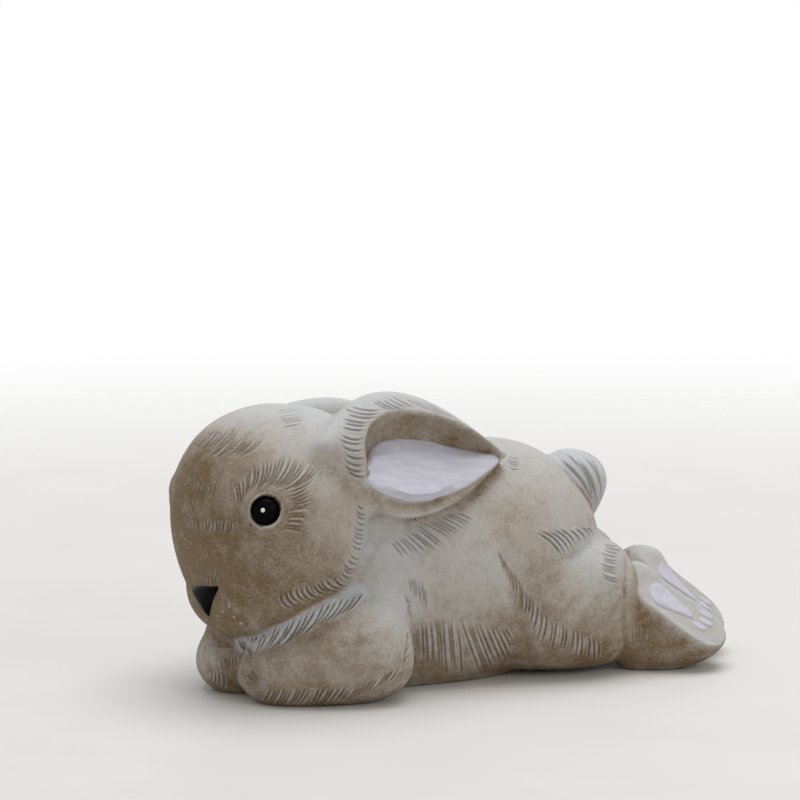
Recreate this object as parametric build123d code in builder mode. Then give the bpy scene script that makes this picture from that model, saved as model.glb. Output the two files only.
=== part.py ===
from build123d import *
import math
import os

# Driving sizes in millimetres.
trunk_length = 145.0
trunk_width = 88.0
trunk_height = 87.0
head_length = 95.0
head_width = 79.0
head_depth = 76.0
head_wall = 9.0
bib_length = 44.0
bib_width = 72.0
bib_height = 42.0
muzzle_length = 26.0
muzzle_width = 53.0
muzzle_height = 32.0
ear_length = 86.0
ear_width = 48.0
ear_thickness = 27.0
ear_lining_depth = 5.0
foreleg_length = 66.0
foreleg_width = 38.0
foreleg_height = 40.0
hind_leg_length = 62.0
hind_leg_width = 46.0
hind_leg_height = 54.0
foot_length = 46.0
foot_width = 27.0
foot_height = 42.0
tail_length = 31.0
tail_width = 25.0
tail_thickness = 23.0
eye_diameter = 11.0
eye_sink = 2.6
eyelid_diameter = 23.4
eyelid_sink = 9.7
nose_width = 21.0
nose_height = 11.5
nose_reach = 1.6
nose_sink = 7.0
nose_corner_radius = 2.4
nose_edge_radius = 1.2
pad_sink = 1.4
pad_reach = 0.5
vent_diameter = 10.0

# Angles in degrees: a turn goes round the upright axis, a dip leans the far end down.
head_turn_angle = 191.0
head_dip_angle = 55.0
eye_turn_angle = 56.0
eye_dip_angle = -7.0
nose_drop_angle = 48.0
nose_dip_angle = 8.0
left_foreleg_turn_angle = 156.0
right_foreleg_turn_angle = 216.0
foreleg_dip_angle = 16.0
left_hind_leg_turn_angle = -18.0
right_hind_leg_turn_angle = -14.0
left_foot_turn_angle = -22.0
right_foot_turn_angle = -18.0
left_sole_dip_angle = 35.0
right_sole_dip_angle = 42.0
left_sole_roll_angle = 30.0
right_sole_roll_angle = 24.0
tail_lean_angle = 30.0
ear_lining_tilt_angle = 22.0
quarter_turn_angle = 90.0

# Places of the pieces, as shares of the trunk's length, width and height.
head_place_shares = (-0.472, -0.02, 0.79)
left_ear_root_shares = (-0.385, -0.385, 1.094)
left_ear_tip_shares = (0.16, -0.20, 0.97)
right_ear_root_shares = (-0.455, 0.445, 1.019)
right_ear_tip_shares = (0.09, 0.545, 0.899)
left_hind_leg_place_shares = (0.08, -0.09, 0.335)
right_hind_leg_place_shares = (0.13, 0.20, 0.335)
tail_tip_shares = (0.441, -0.034, 0.626)
belly_vent_shares = (0.02, 0.10, 0.0)

# The muzzle's and the bib's places ahead of and above the head's middle, as shares of the head's length
# and depth.
muzzle_place_shares = (0.166, -0.405)
bib_place_shares = (-0.02, -0.42)

# The tips of the paws, as shares of the trunk's length and of a foreleg's width and height.
left_paw_tip_shares = (-0.59, -0.316, 0.175)
right_paw_tip_shares = (-0.632, -0.13, 0.175)

# The feet's places along and across their legs, as shares of a leg's length and width, and above the
# resting plane, as a share of a foot's height.
left_foot_place_shares = (0.942, 0.12, 0.0)
right_foot_place_shares = (1.05, -0.05, 0.04)

# The way that the ears' hollows look: back, out to their own side, and up.
ear_outlook_shares = (0.25, 0.88, 0.40)

# Station tables: each row is one oval cross-section, given by its place along the piece, its shift
# aside, its shift up, its half width and its half height. The first and last rows are the ends.
trunk_station_shares = (
    (-0.50, -0.02, 0.46, 0.0, 0.0),
    (-0.33, 0.07, 0.42, 0.40, 0.52),
    (-0.05, 0.11, 0.41, 0.50, 0.55),
    (0.21, 0.07, 0.485, 0.48, 0.515),
    (0.35, 0.01, 0.51, 0.34, 0.37),
    (0.425, -0.01, 0.52, 0.0, 0.0),
)
trunk_hollow_station_shares = (
    (-0.16, 0.11, 0.44, 0.0, 0.0),
    (-0.06, 0.11, 0.445, 0.33, 0.325),
    (0.14, 0.08, 0.48, 0.37, 0.36),
    (0.27, 0.04, 0.51, 0.27, 0.26),
    (0.34, 0.02, 0.50, 0.0, 0.0),
)
head_station_shares = (
    (-0.43, 0.0, -0.01, 0.0, 0.0),
    (-0.27, 0.0, -0.005, 0.40, 0.355),
    (0.0, 0.0, -0.01, 0.515, 0.48),
    (0.25, 0.0, -0.07, 0.49, 0.385),
    (0.415, 0.0, -0.10, 0.32, 0.165),
    (0.50, 0.0, -0.12, 0.0, 0.0),
)
ear_station_shares = (
    (-0.09, 0.0, 0.0, 0.0, 0.0),
    (0.13, 0.0, -0.205, 0.36, 0.395),
    (0.37, 0.0, -0.26, 0.50, 0.49),
    (0.66, -0.01, -0.175, 0.34, 0.375),
    (0.92, 0.0, 0.0, 0.0, 0.0),
)
ear_hollow_station_shares = (
    (0.12, -0.06, 0.20, 0.0, 0.0),
    (0.21, -0.06, 0.17, 0.26, 0.43),
    (0.41, -0.07, 0.185, 0.34, 0.53),
    (0.68, -0.03, 0.15, 0.22, 0.48),
    (0.905, 0.0, 0.10, 0.0, 0.0),
)
foreleg_station_shares = (
    (0.0, 0.0, 0.0, 0.0, 0.0),
    (0.16, 0.0, -0.04, 0.42, 0.46),
    (0.46, 0.0, -0.04, 0.50, 0.46),
    (0.84, 0.0, -0.015, 0.40, 0.315),
    (1.0, 0.0, 0.0, 0.0, 0.0),
)
hind_leg_station_shares = (
    (0.0, 0.0, 0.0, 0.0, 0.0),
    (0.20, 0.0, -0.01, 0.48, 0.49),
    (0.52, 0.0, -0.02, 0.50, 0.50),
    (0.85, 0.0, -0.045, 0.34, 0.43),
    (1.0, 0.0, 0.0, 0.0, 0.0),
)
foot_station_shares = (
    (-0.16, 0.0, 0.40, 0.0, 0.0),
    (0.12, 0.0, 0.44, 0.48, 0.52),
    (0.45, 0.0, 0.355, 0.50, 0.385),
    (0.71, 0.0, 0.31, 0.46, 0.225),
    (0.87, 0.0, 0.31, 0.0, 0.0),
)
tail_station_shares = (
    (0.0, 0.0, 0.0, 0.0, 0.0),
    (0.25, 0.0, 0.08, 0.32, 0.30),
    (0.58, 0.0, 0.08, 0.50, 0.50),
    (0.86, 0.0, 0.02, 0.40, 0.38),
    (1.0, 0.0, 0.0, 0.0, 0.0),
)

# The flat sole passes this far along and up the foot.
sole_place_shares = (0.46, 0.60)

# Pads, as shares of the foot's length down the sole and of its width across it. A long pad narrows
# from its heel end to its toe end: each end is a place down, a place across and a radius across.
# A toe pad is given by its place down, its place across, its half length and its half width.
long_pad_heel_shares = (-0.20, -0.07, 0.16)
long_pad_toe_shares = (0.10, -0.20, 0.035)
outer_toe_pad_shares = (0.18, -0.36, 0.065, 0.055)
middle_toe_pad_shares = (0.255, -0.20, 0.065, 0.055)
inner_toe_pad_shares = (0.27, -0.03, 0.065, 0.055)

trunk_size = (trunk_length, trunk_width, trunk_height)
head_size = (head_length, head_width, head_depth)
ear_size = (ear_length, ear_width, ear_thickness)
foreleg_size = (foreleg_length, foreleg_width, foreleg_height)
hind_leg_size = (hind_leg_length, hind_leg_width, hind_leg_height)
foot_size = (foot_length, foot_width, foot_height)
tail_size = (tail_length, tail_width, tail_thickness)


def from_trunk(shares):
    return Vector(shares[0] * trunk_length, shares[1] * trunk_width, shares[2] * trunk_height)


def facing(place, turn, dip):
    ahead = math.radians(turn)
    down = math.radians(dip)
    aim = (math.cos(ahead) * math.cos(down), math.sin(ahead) * math.cos(down), -math.sin(down))
    return Plane(origin=place, x_dir=(-math.sin(ahead), math.cos(ahead), 0), z_dir=aim)


def oval(plane, half_width, half_height):
    with BuildLine(plane) as outline:
        for quarter in range(4):
            start = quarter * quarter_turn_angle
            EllipticalCenterArc((0, 0), half_width, half_height, start_angle=start, arc_size=quarter_turn_angle)
    return Face(outline.wire())


def stations(base, table, size, inset=0.0):
    length, width, height = size
    ends = []
    for row, step in ((table[0], inset), (table[-1], -inset)):
        place = base.from_local_coords((row[1] * width, row[2] * height, row[0] * length + step))
        ends.append(Vertex(place))
    sections = []
    for along, aside, above, half_width, half_height in table[1:-1]:
        place = base.from_local_coords((aside * width, above * height, along * length))
        plane = Plane(origin=place, x_dir=base.x_dir, z_dir=base.z_dir)
        sections.append(oval(plane, half_width * width - inset, half_height * height - inset))
    return [ends[0], *sections, ends[1]]


def mirrored(table):
    return [(along, -aside, *rest) for along, aside, *rest in table]


def skin_point(solid, middle, aim):
    hits = solid.find_intersection_points(Axis(middle, aim))
    return max((point for point, normal in hits), key=lambda point: (point - middle).dot(aim))


def ear_frame(root, tip, side):
    aim = (tip - root).normalized()
    back, out, up = ear_outlook_shares
    outward = Vector(back, side * out, up)
    return Plane(origin=root, x_dir=outward.cross(aim), z_dir=aim)


def lining_plane(frame, side):
    middle = ear_hollow_station_shares[2]
    floor = (middle[2] - middle[4]) * ear_thickness
    place = frame.from_local_coords((0, floor + ear_lining_depth, 0))
    tilt = math.tan(math.radians(ear_lining_tilt_angle))
    return Plane(origin=place, x_dir=frame.z_dir, z_dir=frame.y_dir - frame.x_dir * side * tilt)


def foreleg_frame(tip_shares, turn):
    along, aside, above = tip_shares
    tip = Vector(along * trunk_length, aside * foreleg_width, above * foreleg_height)
    aim = facing(tip, turn, foreleg_dip_angle)
    return aim.offset(-foreleg_length)


def foot_frame(leg_frame, place_shares, turn):
    along, aside, above = place_shares
    place = leg_frame.from_local_coords((aside * hind_leg_width, 0, along * hind_leg_length))
    return facing(Vector(place.X, place.Y, above * foot_height), turn, 0)


def sole_frame(frame, dip, roll):
    along = sole_place_shares[0] * foot_length
    above = sole_place_shares[1] * foot_height
    lean = frame.z_dir * math.tan(math.radians(dip)) - frame.x_dir * math.tan(math.radians(roll))
    normal = frame.y_dir + lean
    place = frame.from_local_coords((0, above, along))
    return Plane(origin=place, x_dir=normal.cross(frame.z_dir).cross(normal), z_dir=normal)


def long_pad_outline(sole):
    with BuildSketch(sole.offset(-pad_sink)) as outline:
        for down, across, radius in (long_pad_heel_shares, long_pad_toe_shares):
            with Locations((down * foot_length, across * foot_width)):
                Circle(radius * foot_width)
        make_hull()
    return outline.sketch


def toe_pad_outline(sole, shares):
    with BuildSketch(sole.offset(-pad_sink)) as outline:
        with Locations((shares[0] * foot_length, shares[1] * foot_width)):
            Ellipse(shares[2] * foot_length, shares[3] * foot_width)
    return outline.sketch


# Everything below the resting plane is cut away.
with BuildPart() as ground:
    Box(3 * trunk_length, 3 * trunk_width, trunk_height, align=(Align.CENTER, Align.CENTER, Align.MAX))

# Head: one egg from the crown down to the chin, with the muzzle swelling out of its lower front.
head_middle = from_trunk(head_place_shares)
head_frame = facing(head_middle, head_turn_angle, head_dip_angle)
face_frame = facing(head_middle, head_turn_angle, 0)
muzzle_rise = muzzle_place_shares[1] * head_depth
muzzle_ahead = muzzle_place_shares[0] * head_length
bib_rise = bib_place_shares[1] * head_depth
bib_ahead = bib_place_shares[0] * head_length

with BuildPart() as head_egg:
    loft(stations(head_frame, head_station_shares, head_size))
    muzzle = Sphere(muzzle_width / 2, mode=Mode.PRIVATE)
    muzzle_scale = (1, muzzle_height / muzzle_width, muzzle_length / muzzle_width)
    muzzle = scale(muzzle, by=muzzle_scale, mode=Mode.PRIVATE)
    add(face_frame.location * Pos(0, muzzle_rise, muzzle_ahead) * muzzle)

with BuildPart() as head_hollow:
    loft(stations(head_frame, head_station_shares, head_size, head_wall))

# Bead eyes and nose button, each sunk where a line from the head's middle leaves the egg.
left_eye_aim = facing(head_middle, head_turn_angle + eye_turn_angle, eye_dip_angle).z_dir
right_eye_aim = facing(head_middle, head_turn_angle - eye_turn_angle, eye_dip_angle).z_dir
nose_aim = facing(head_middle, head_turn_angle, nose_drop_angle).z_dir
left_eye_skin = skin_point(head_egg.part, head_middle, left_eye_aim)
right_eye_skin = skin_point(head_egg.part, head_middle, right_eye_aim)
nose_frame = facing(skin_point(head_egg.part, head_middle, nose_aim), head_turn_angle, nose_dip_angle)

with BuildPart() as left_eye:
    with Locations(left_eye_skin - left_eye_aim * eye_sink):
        Sphere(eye_diameter / 2)

with BuildPart() as right_eye:
    with Locations(right_eye_skin - right_eye_aim * eye_sink):
        Sphere(eye_diameter / 2)

with BuildPart() as nose:
    with BuildSketch(nose_frame.offset(-nose_sink)) as nose_outline:
        with BuildLine():
            Polyline(
                (-nose_width / 2, nose_height / 2),
                (nose_width / 2, nose_height / 2),
                (0, -nose_height / 2),
                close=True,
            )
        make_face()
        fillet(nose_outline.vertices(), nose_corner_radius)
    extrude(amount=nose_sink + nose_reach)
    fillet(nose.faces().sort_by(Axis(nose_frame.origin, nose_frame.z_dir))[-1].edges(), nose_edge_radius)

# Trunk: flat underneath, hollowed at the front to take the head, with the bib showing below the jaw.
with BuildPart() as trunk_egg:
    loft(stations(Plane.YZ, trunk_station_shares, trunk_size))
    bib = Sphere(bib_width / 2, mode=Mode.PRIVATE)
    bib = scale(bib, by=(1, bib_height / bib_width, bib_length / bib_width), mode=Mode.PRIVATE)
    add(face_frame.location * Pos(0, bib_rise, bib_ahead) * bib)
    add(ground.part, mode=Mode.SUBTRACT)
    add(head_egg.part, mode=Mode.SUBTRACT)

with BuildPart() as trunk_hollow:
    loft(stations(Plane.YZ, trunk_hollow_station_shares, trunk_size))

# Vent from the hollow of the head into the hollow of the trunk.
trunk_middle = from_trunk(trunk_hollow_station_shares[2][:3])
with BuildPart() as neck_vent:
    with BuildSketch(Plane(origin=head_middle, z_dir=trunk_middle - head_middle)):
        Circle(vent_diameter / 2)
    extrude(amount=(trunk_middle - head_middle).length)

with BuildPart() as trunk:
    add(trunk_egg.part)
    add(trunk_hollow.part, mode=Mode.SUBTRACT)
    add(neck_vent.part, mode=Mode.SUBTRACT)
    with BuildSketch(Plane(from_trunk(belly_vent_shares))):
        Circle(vent_diameter / 2)
    extrude(amount=trunk_middle.Z, mode=Mode.SUBTRACT)

with BuildPart() as head:
    add(head_egg.part)
    with Locations(left_eye_skin - left_eye_aim * eyelid_sink, right_eye_skin - right_eye_aim * eyelid_sink):
        Sphere(eyelid_diameter / 2)
    add(head_hollow.part, mode=Mode.SUBTRACT)
    add(neck_vent.part, mode=Mode.SUBTRACT)
    add(left_eye.part, mode=Mode.SUBTRACT)
    add(right_eye.part, mode=Mode.SUBTRACT)
    add(nose.part, mode=Mode.SUBTRACT)

# Tail: a leaf laid up the slope of the rump, tip down.
tail_frame = facing(from_trunk(tail_tip_shares), 2 * quarter_turn_angle, tail_lean_angle - quarter_turn_angle)

with BuildPart() as tail:
    loft(stations(tail_frame, tail_station_shares, tail_size))
    add(trunk_egg.part, mode=Mode.SUBTRACT)

# Forelegs, folded in under the chin.
left_foreleg_frame = foreleg_frame(left_paw_tip_shares, left_foreleg_turn_angle)
right_foreleg_frame = foreleg_frame(right_paw_tip_shares, right_foreleg_turn_angle)

with BuildPart() as left_foreleg:
    loft(stations(left_foreleg_frame, foreleg_station_shares, foreleg_size))
    add(ground.part, mode=Mode.SUBTRACT)
    add(trunk_egg.part, mode=Mode.SUBTRACT)
    add(head_egg.part, mode=Mode.SUBTRACT)

with BuildPart() as right_foreleg:
    loft(stations(right_foreleg_frame, foreleg_station_shares, foreleg_size))
    add(ground.part, mode=Mode.SUBTRACT)
    add(trunk_egg.part, mode=Mode.SUBTRACT)
    add(head_egg.part, mode=Mode.SUBTRACT)
    add(left_foreleg.part, mode=Mode.SUBTRACT)

# Hind legs, stretched out behind and swung to the left.
left_leg_frame = facing(from_trunk(left_hind_leg_place_shares), left_hind_leg_turn_angle, 0)
right_leg_frame = facing(from_trunk(right_hind_leg_place_shares), right_hind_leg_turn_angle, 0)

with BuildPart() as left_hind_leg:
    loft(stations(left_leg_frame, hind_leg_station_shares, hind_leg_size))
    add(ground.part, mode=Mode.SUBTRACT)
    add(trunk_egg.part, mode=Mode.SUBTRACT)

with BuildPart() as right_hind_leg:
    loft(stations(right_leg_frame, hind_leg_station_shares, hind_leg_size))
    add(ground.part, mode=Mode.SUBTRACT)
    add(trunk_egg.part, mode=Mode.SUBTRACT)
    add(left_hind_leg.part, mode=Mode.SUBTRACT)

# Hind feet, toes down and soles up, each with one long pad and three toe pads.
left_foot_frame = foot_frame(left_leg_frame, left_foot_place_shares, left_foot_turn_angle)
right_foot_frame = foot_frame(right_leg_frame, right_foot_place_shares, right_foot_turn_angle)
left_sole = sole_frame(left_foot_frame, left_sole_dip_angle, left_sole_roll_angle)
right_sole = sole_frame(right_foot_frame, right_sole_dip_angle, right_sole_roll_angle)

with BuildPart() as left_long_pad:
    extrude(long_pad_outline(left_sole), amount=pad_sink + pad_reach)

with BuildPart() as left_outer_toe_pad:
    extrude(toe_pad_outline(left_sole, outer_toe_pad_shares), amount=pad_sink + pad_reach)

with BuildPart() as left_middle_toe_pad:
    extrude(toe_pad_outline(left_sole, middle_toe_pad_shares), amount=pad_sink + pad_reach)

with BuildPart() as left_inner_toe_pad:
    extrude(toe_pad_outline(left_sole, inner_toe_pad_shares), amount=pad_sink + pad_reach)

with BuildPart() as right_long_pad:
    extrude(long_pad_outline(right_sole), amount=pad_sink + pad_reach)

with BuildPart() as right_outer_toe_pad:
    extrude(toe_pad_outline(right_sole, outer_toe_pad_shares), amount=pad_sink + pad_reach)

with BuildPart() as right_middle_toe_pad:
    extrude(toe_pad_outline(right_sole, middle_toe_pad_shares), amount=pad_sink + pad_reach)

with BuildPart() as right_inner_toe_pad:
    extrude(toe_pad_outline(right_sole, inner_toe_pad_shares), amount=pad_sink + pad_reach)

with BuildPart() as left_hind_foot:
    loft(stations(left_foot_frame, foot_station_shares, foot_size))
    add(ground.part, mode=Mode.SUBTRACT)
    split(bisect_by=left_sole, keep=Keep.BOTTOM)
    add(trunk_egg.part, mode=Mode.SUBTRACT)
    add(left_hind_leg.part, mode=Mode.SUBTRACT)
    add(right_hind_leg.part, mode=Mode.SUBTRACT)
    add(left_long_pad.part, mode=Mode.SUBTRACT)
    add(left_outer_toe_pad.part, mode=Mode.SUBTRACT)
    add(left_middle_toe_pad.part, mode=Mode.SUBTRACT)
    add(left_inner_toe_pad.part, mode=Mode.SUBTRACT)

with BuildPart() as right_hind_foot:
    loft(stations(right_foot_frame, foot_station_shares, foot_size))
    add(ground.part, mode=Mode.SUBTRACT)
    split(bisect_by=right_sole, keep=Keep.BOTTOM)
    add(trunk_egg.part, mode=Mode.SUBTRACT)
    add(right_hind_leg.part, mode=Mode.SUBTRACT)
    add(left_hind_leg.part, mode=Mode.SUBTRACT)
    add(left_hind_foot.part, mode=Mode.SUBTRACT)
    add(right_long_pad.part, mode=Mode.SUBTRACT)
    add(right_outer_toe_pad.part, mode=Mode.SUBTRACT)
    add(right_middle_toe_pad.part, mode=Mode.SUBTRACT)
    add(right_inner_toe_pad.part, mode=Mode.SUBTRACT)

# Ears, laid back along the shoulders, each with a lining at the bottom of its hollow.
left_ear_frame = ear_frame(from_trunk(left_ear_root_shares), from_trunk(left_ear_tip_shares), -1)
right_ear_frame = ear_frame(from_trunk(right_ear_root_shares), from_trunk(right_ear_tip_shares), 1)

with BuildPart() as left_ear_hollow:
    loft(stations(left_ear_frame, ear_hollow_station_shares, ear_size))

with BuildPart() as right_ear_hollow:
    loft(stations(right_ear_frame, mirrored(ear_hollow_station_shares), ear_size))

with BuildPart() as left_ear:
    loft(stations(left_ear_frame, ear_station_shares, ear_size))
    add(left_ear_hollow.part, mode=Mode.SUBTRACT)
    add(trunk_egg.part, mode=Mode.SUBTRACT)
    add(head_egg.part, mode=Mode.SUBTRACT)

with BuildPart() as right_ear:
    loft(stations(right_ear_frame, mirrored(ear_station_shares), ear_size))
    add(right_ear_hollow.part, mode=Mode.SUBTRACT)
    add(trunk_egg.part, mode=Mode.SUBTRACT)
    add(head_egg.part, mode=Mode.SUBTRACT)

with BuildPart() as left_ear_lining:
    add(left_ear_hollow.part)
    split(bisect_by=lining_plane(left_ear_frame, -1), keep=Keep.BOTTOM)
    add(trunk_egg.part, mode=Mode.SUBTRACT)
    add(head_egg.part, mode=Mode.SUBTRACT)

with BuildPart() as right_ear_lining:
    add(right_ear_hollow.part)
    split(bisect_by=lining_plane(right_ear_frame, 1), keep=Keep.BOTTOM)
    add(trunk_egg.part, mode=Mode.SUBTRACT)
    add(head_egg.part, mode=Mode.SUBTRACT)

# The finished pieces, moved so that the middle of the figurine's outline stands over the origin.
blocks = {
    "trunk": trunk,
    "head": head,
    "left_ear": left_ear,
    "right_ear": right_ear,
    "left_ear_lining": left_ear_lining,
    "right_ear_lining": right_ear_lining,
    "left_eye": left_eye,
    "right_eye": right_eye,
    "nose": nose,
    "left_foreleg": left_foreleg,
    "right_foreleg": right_foreleg,
    "left_hind_leg": left_hind_leg,
    "right_hind_leg": right_hind_leg,
    "left_hind_foot": left_hind_foot,
    "right_hind_foot": right_hind_foot,
    "left_long_pad": left_long_pad,
    "left_outer_toe_pad": left_outer_toe_pad,
    "left_middle_toe_pad": left_middle_toe_pad,
    "left_inner_toe_pad": left_inner_toe_pad,
    "right_long_pad": right_long_pad,
    "right_outer_toe_pad": right_outer_toe_pad,
    "right_middle_toe_pad": right_middle_toe_pad,
    "right_inner_toe_pad": right_inner_toe_pad,
    "tail": tail,
}
boxes = [block.part.bounding_box() for block in blocks.values()]
middle_x = (min(box.min.X for box in boxes) + max(box.max.X for box in boxes)) / 2
middle_y = (min(box.min.Y for box in boxes) + max(box.max.Y for box in boxes)) / 2

os.makedirs("parts", exist_ok=True)
for name, block in blocks.items():
    piece = block.part.moved(Location((-middle_x, -middle_y, 0)))
    piece.label = name
    export_step(piece, f"parts/{name}.step")
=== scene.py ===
"""Lying rabbit figurine: a carved, washed clay casting with painted-in light and shade, painted linings and
pads, bead eyes and a nose.
"""

import math

import bmesh
import bpy
import numpy as np
from bpy.props import FloatProperty, FloatVectorProperty, IntProperty, PointerProperty
from mathutils import Matrix, Vector
from mathutils.bvhtree import BVHTree
from mathutils.kdtree import KDTree


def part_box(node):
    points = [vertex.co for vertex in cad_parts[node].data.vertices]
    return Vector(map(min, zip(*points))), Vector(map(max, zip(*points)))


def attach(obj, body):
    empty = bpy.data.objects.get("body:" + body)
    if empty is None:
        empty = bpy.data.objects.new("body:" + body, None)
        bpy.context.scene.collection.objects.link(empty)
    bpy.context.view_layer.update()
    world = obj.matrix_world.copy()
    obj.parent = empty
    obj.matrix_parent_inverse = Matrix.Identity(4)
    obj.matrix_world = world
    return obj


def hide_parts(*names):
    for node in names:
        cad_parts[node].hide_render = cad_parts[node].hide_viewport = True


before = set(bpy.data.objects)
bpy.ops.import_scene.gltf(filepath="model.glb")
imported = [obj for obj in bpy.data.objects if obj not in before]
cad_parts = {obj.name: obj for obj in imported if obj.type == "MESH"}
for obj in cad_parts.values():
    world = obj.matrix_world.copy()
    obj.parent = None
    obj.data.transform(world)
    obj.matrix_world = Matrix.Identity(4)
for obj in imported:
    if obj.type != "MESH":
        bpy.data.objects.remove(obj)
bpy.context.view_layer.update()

bl_info = {
    "name": "Lying Rabbit Figurine",
    "version": (1, 0, 0),
    "blender": (4, 5, 0),
    "location": "View3D > Sidebar > Rabbit",
    "description": "Carves, paints and stages a lying rabbit figurine round its solid pieces",
    "category": "Object",
}

MM = 0.001
CAST_PIECES = (
    "trunk",
    "head",
    "left_ear",
    "right_ear",
    "left_foreleg",
    "right_foreleg",
    "left_hind_leg",
    "right_hind_leg",
    "left_hind_foot",
    "right_hind_foot",
    "tail",
)
SIDES = ("left", "right")
SOLE_PADS = ("long", "outer_toe", "middle_toe", "inner_toe")
PADS = tuple(f"{side}_{pad}_pad" for side in SIDES for pad in SOLE_PADS)
CHEST = ("trunk", "left_foreleg", "right_foreleg")
SHOULDER = ("trunk", "left_foreleg")
FORELEG = ("left_foreleg",)
THIGH = ("trunk", "left_hind_leg")
HIND_LEGS = ("left_hind_leg", "right_hind_leg")
EAR_ROOT = ("left_ear", "head")

# Places in millimetres in the frame of the solids.
CAMERA_PLACE = np.array((-444.7, -982.4, 247.5))
CAMERA_AIM = np.array((-12.5, 24.0, 101.1))
CAMERA_LENS = 129.2
PICTURE_SIDE = 800
HEAD_MIDDLE = np.array((-77.2, -5.0, 68.7))
HEAD_SIDEWAYS = np.array((0.1908, -0.9816, 0.0))
HEAD_AHEAD = np.array((HEAD_SIDEWAYS[1], -HEAD_SIDEWAYS[0], 0.0))
TRUNK_MIDDLE = np.array((0.0, 4.0, 0.0))
TRUNK_SIDEWAYS = np.array((0.0, -1.0, 0.0))
NOSE_MIDDLE = np.array((-105.38, -10.50, 36.81))
NOSE_AXES = np.array(((0.1908, -0.9816, 0.0), (-0.1366, -0.0266, 0.9903), (-0.9721, -0.1890, -0.1392)))
EAR_ROOTS = {"left": np.array((-64.56, -37.14, 95.18)), "right": np.array((-74.71, 35.90, 88.65))}
EAR_AXES = {
    "left": np.array(((0.0367, 0.4221, 0.9058), (0.2371, -0.8842, 0.4025), (0.9708, 0.2000, -0.1325))),
    "right": np.array(((0.1659, -0.4467, 0.8791), (-0.0383, 0.8879, 0.4584), (0.9854, 0.1097, -0.1302))),
}
MUZZLE_MIDDLE = np.array((-101.0, -9.0, 40.0))
MUZZLE_REACH = 40.0

# The beads and their lids: shares of the solid bead, then millimetres.
EYE_FLATNESS = 0.78
EYE_SIZE = 0.93
EYE_SETTINGS = {"left": 0.0, "right": -0.6}
EYE_SOFTNESS = 8.5
LID_HEIGHTS = {"left": 0.40, "right": 0.10}
LID_RADIUS = 5.7
LID_WIDTH = 0.5
LID_FURROW = 0.35
LID_FURROW_RADIUS = 6.9
LID_FURROW_WIDTH = 0.8
SOCKET_RADIUS = 5.4
SOCKET_SLOPE = 0.4
SOCKET_FLOOR = -2.5
GLINT_LEAN = 0.30 * HEAD_AHEAD + np.array((0.0, 0.0, 0.14))
GLINT_FLATNESS = 0.25
GLINT_SINK = 0.05

# The linings of the ears, in millimetres: the dish, the rise at the tip, the room cleared under them, the
# least gap to the clay, the furthest that the rim drops onto the wall, and the edge turned down into the clay.
# The rise starts at a share of the way to the tip, the step round the outline is in the picture, and the
# overlap is a share of the outline's size.
LINING_DISH = 0.35
LINING_RISE = 2.6
LINING_RISE_START = 0.3
LINING_ROOM = 0.6
LINING_GAP = 0.25
LINING_DROP = 6.0
LINING_EDGE = 1.2
LINING_STEP = 1.8
LINING_OVERLAP = 0.02

# The pads: how much wider some are, their grain and how far they stand out, in millimetres.
PAD_SPREAD = {"left_long_pad": 1.40, "right_long_pad": 1.20}
PAD_GRAIN = 0.25
PAD_SWELLING = 0.40

# The plug that shuts the vent in the belly while the casting is made, in millimetres.
PLUG_MIDDLE = np.array((-5.8, 5.5, 5.6))
PLUG_RADIUS = 6.2
PLUG_DEPTH = 8.0

# Crevices narrower than twice this many millimetres are filled.
CREVICE_FILLING = 1.1

# How far each kind of seam is rounded, in millimetres.
SEAM_ROUNDING = {frozenset(("trunk", "head")): 1.0}
for side in SIDES:
    SEAM_ROUNDING[frozenset(("trunk", f"{side}_hind_leg"))] = 2.6
    SEAM_ROUNDING[frozenset(("trunk", f"{side}_foreleg"))] = 3.0
    SEAM_ROUNDING[frozenset(("head", f"{side}_ear"))] = 5.0
    SEAM_ROUNDING[frozenset(("trunk", f"{side}_ear"))] = 1.6
    SEAM_ROUNDING[frozenset((f"{side}_hind_leg", f"{side}_hind_foot"))] = 2.6
OTHER_SEAM = 1.4

# How deep the first piece of a seam is pressed in beside it, and how wide, in millimetres.
SEAM_PRESS = {("trunk", "head"): (2.0, 2.6), ("trunk", "tail"): (0.9, 1.8)}
for side in SIDES:
    SEAM_PRESS["trunk", f"{side}_foreleg"] = (0.9, 2.4)
    SEAM_PRESS["trunk", f"{side}_ear"] = (0.8, 2.0)

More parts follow.
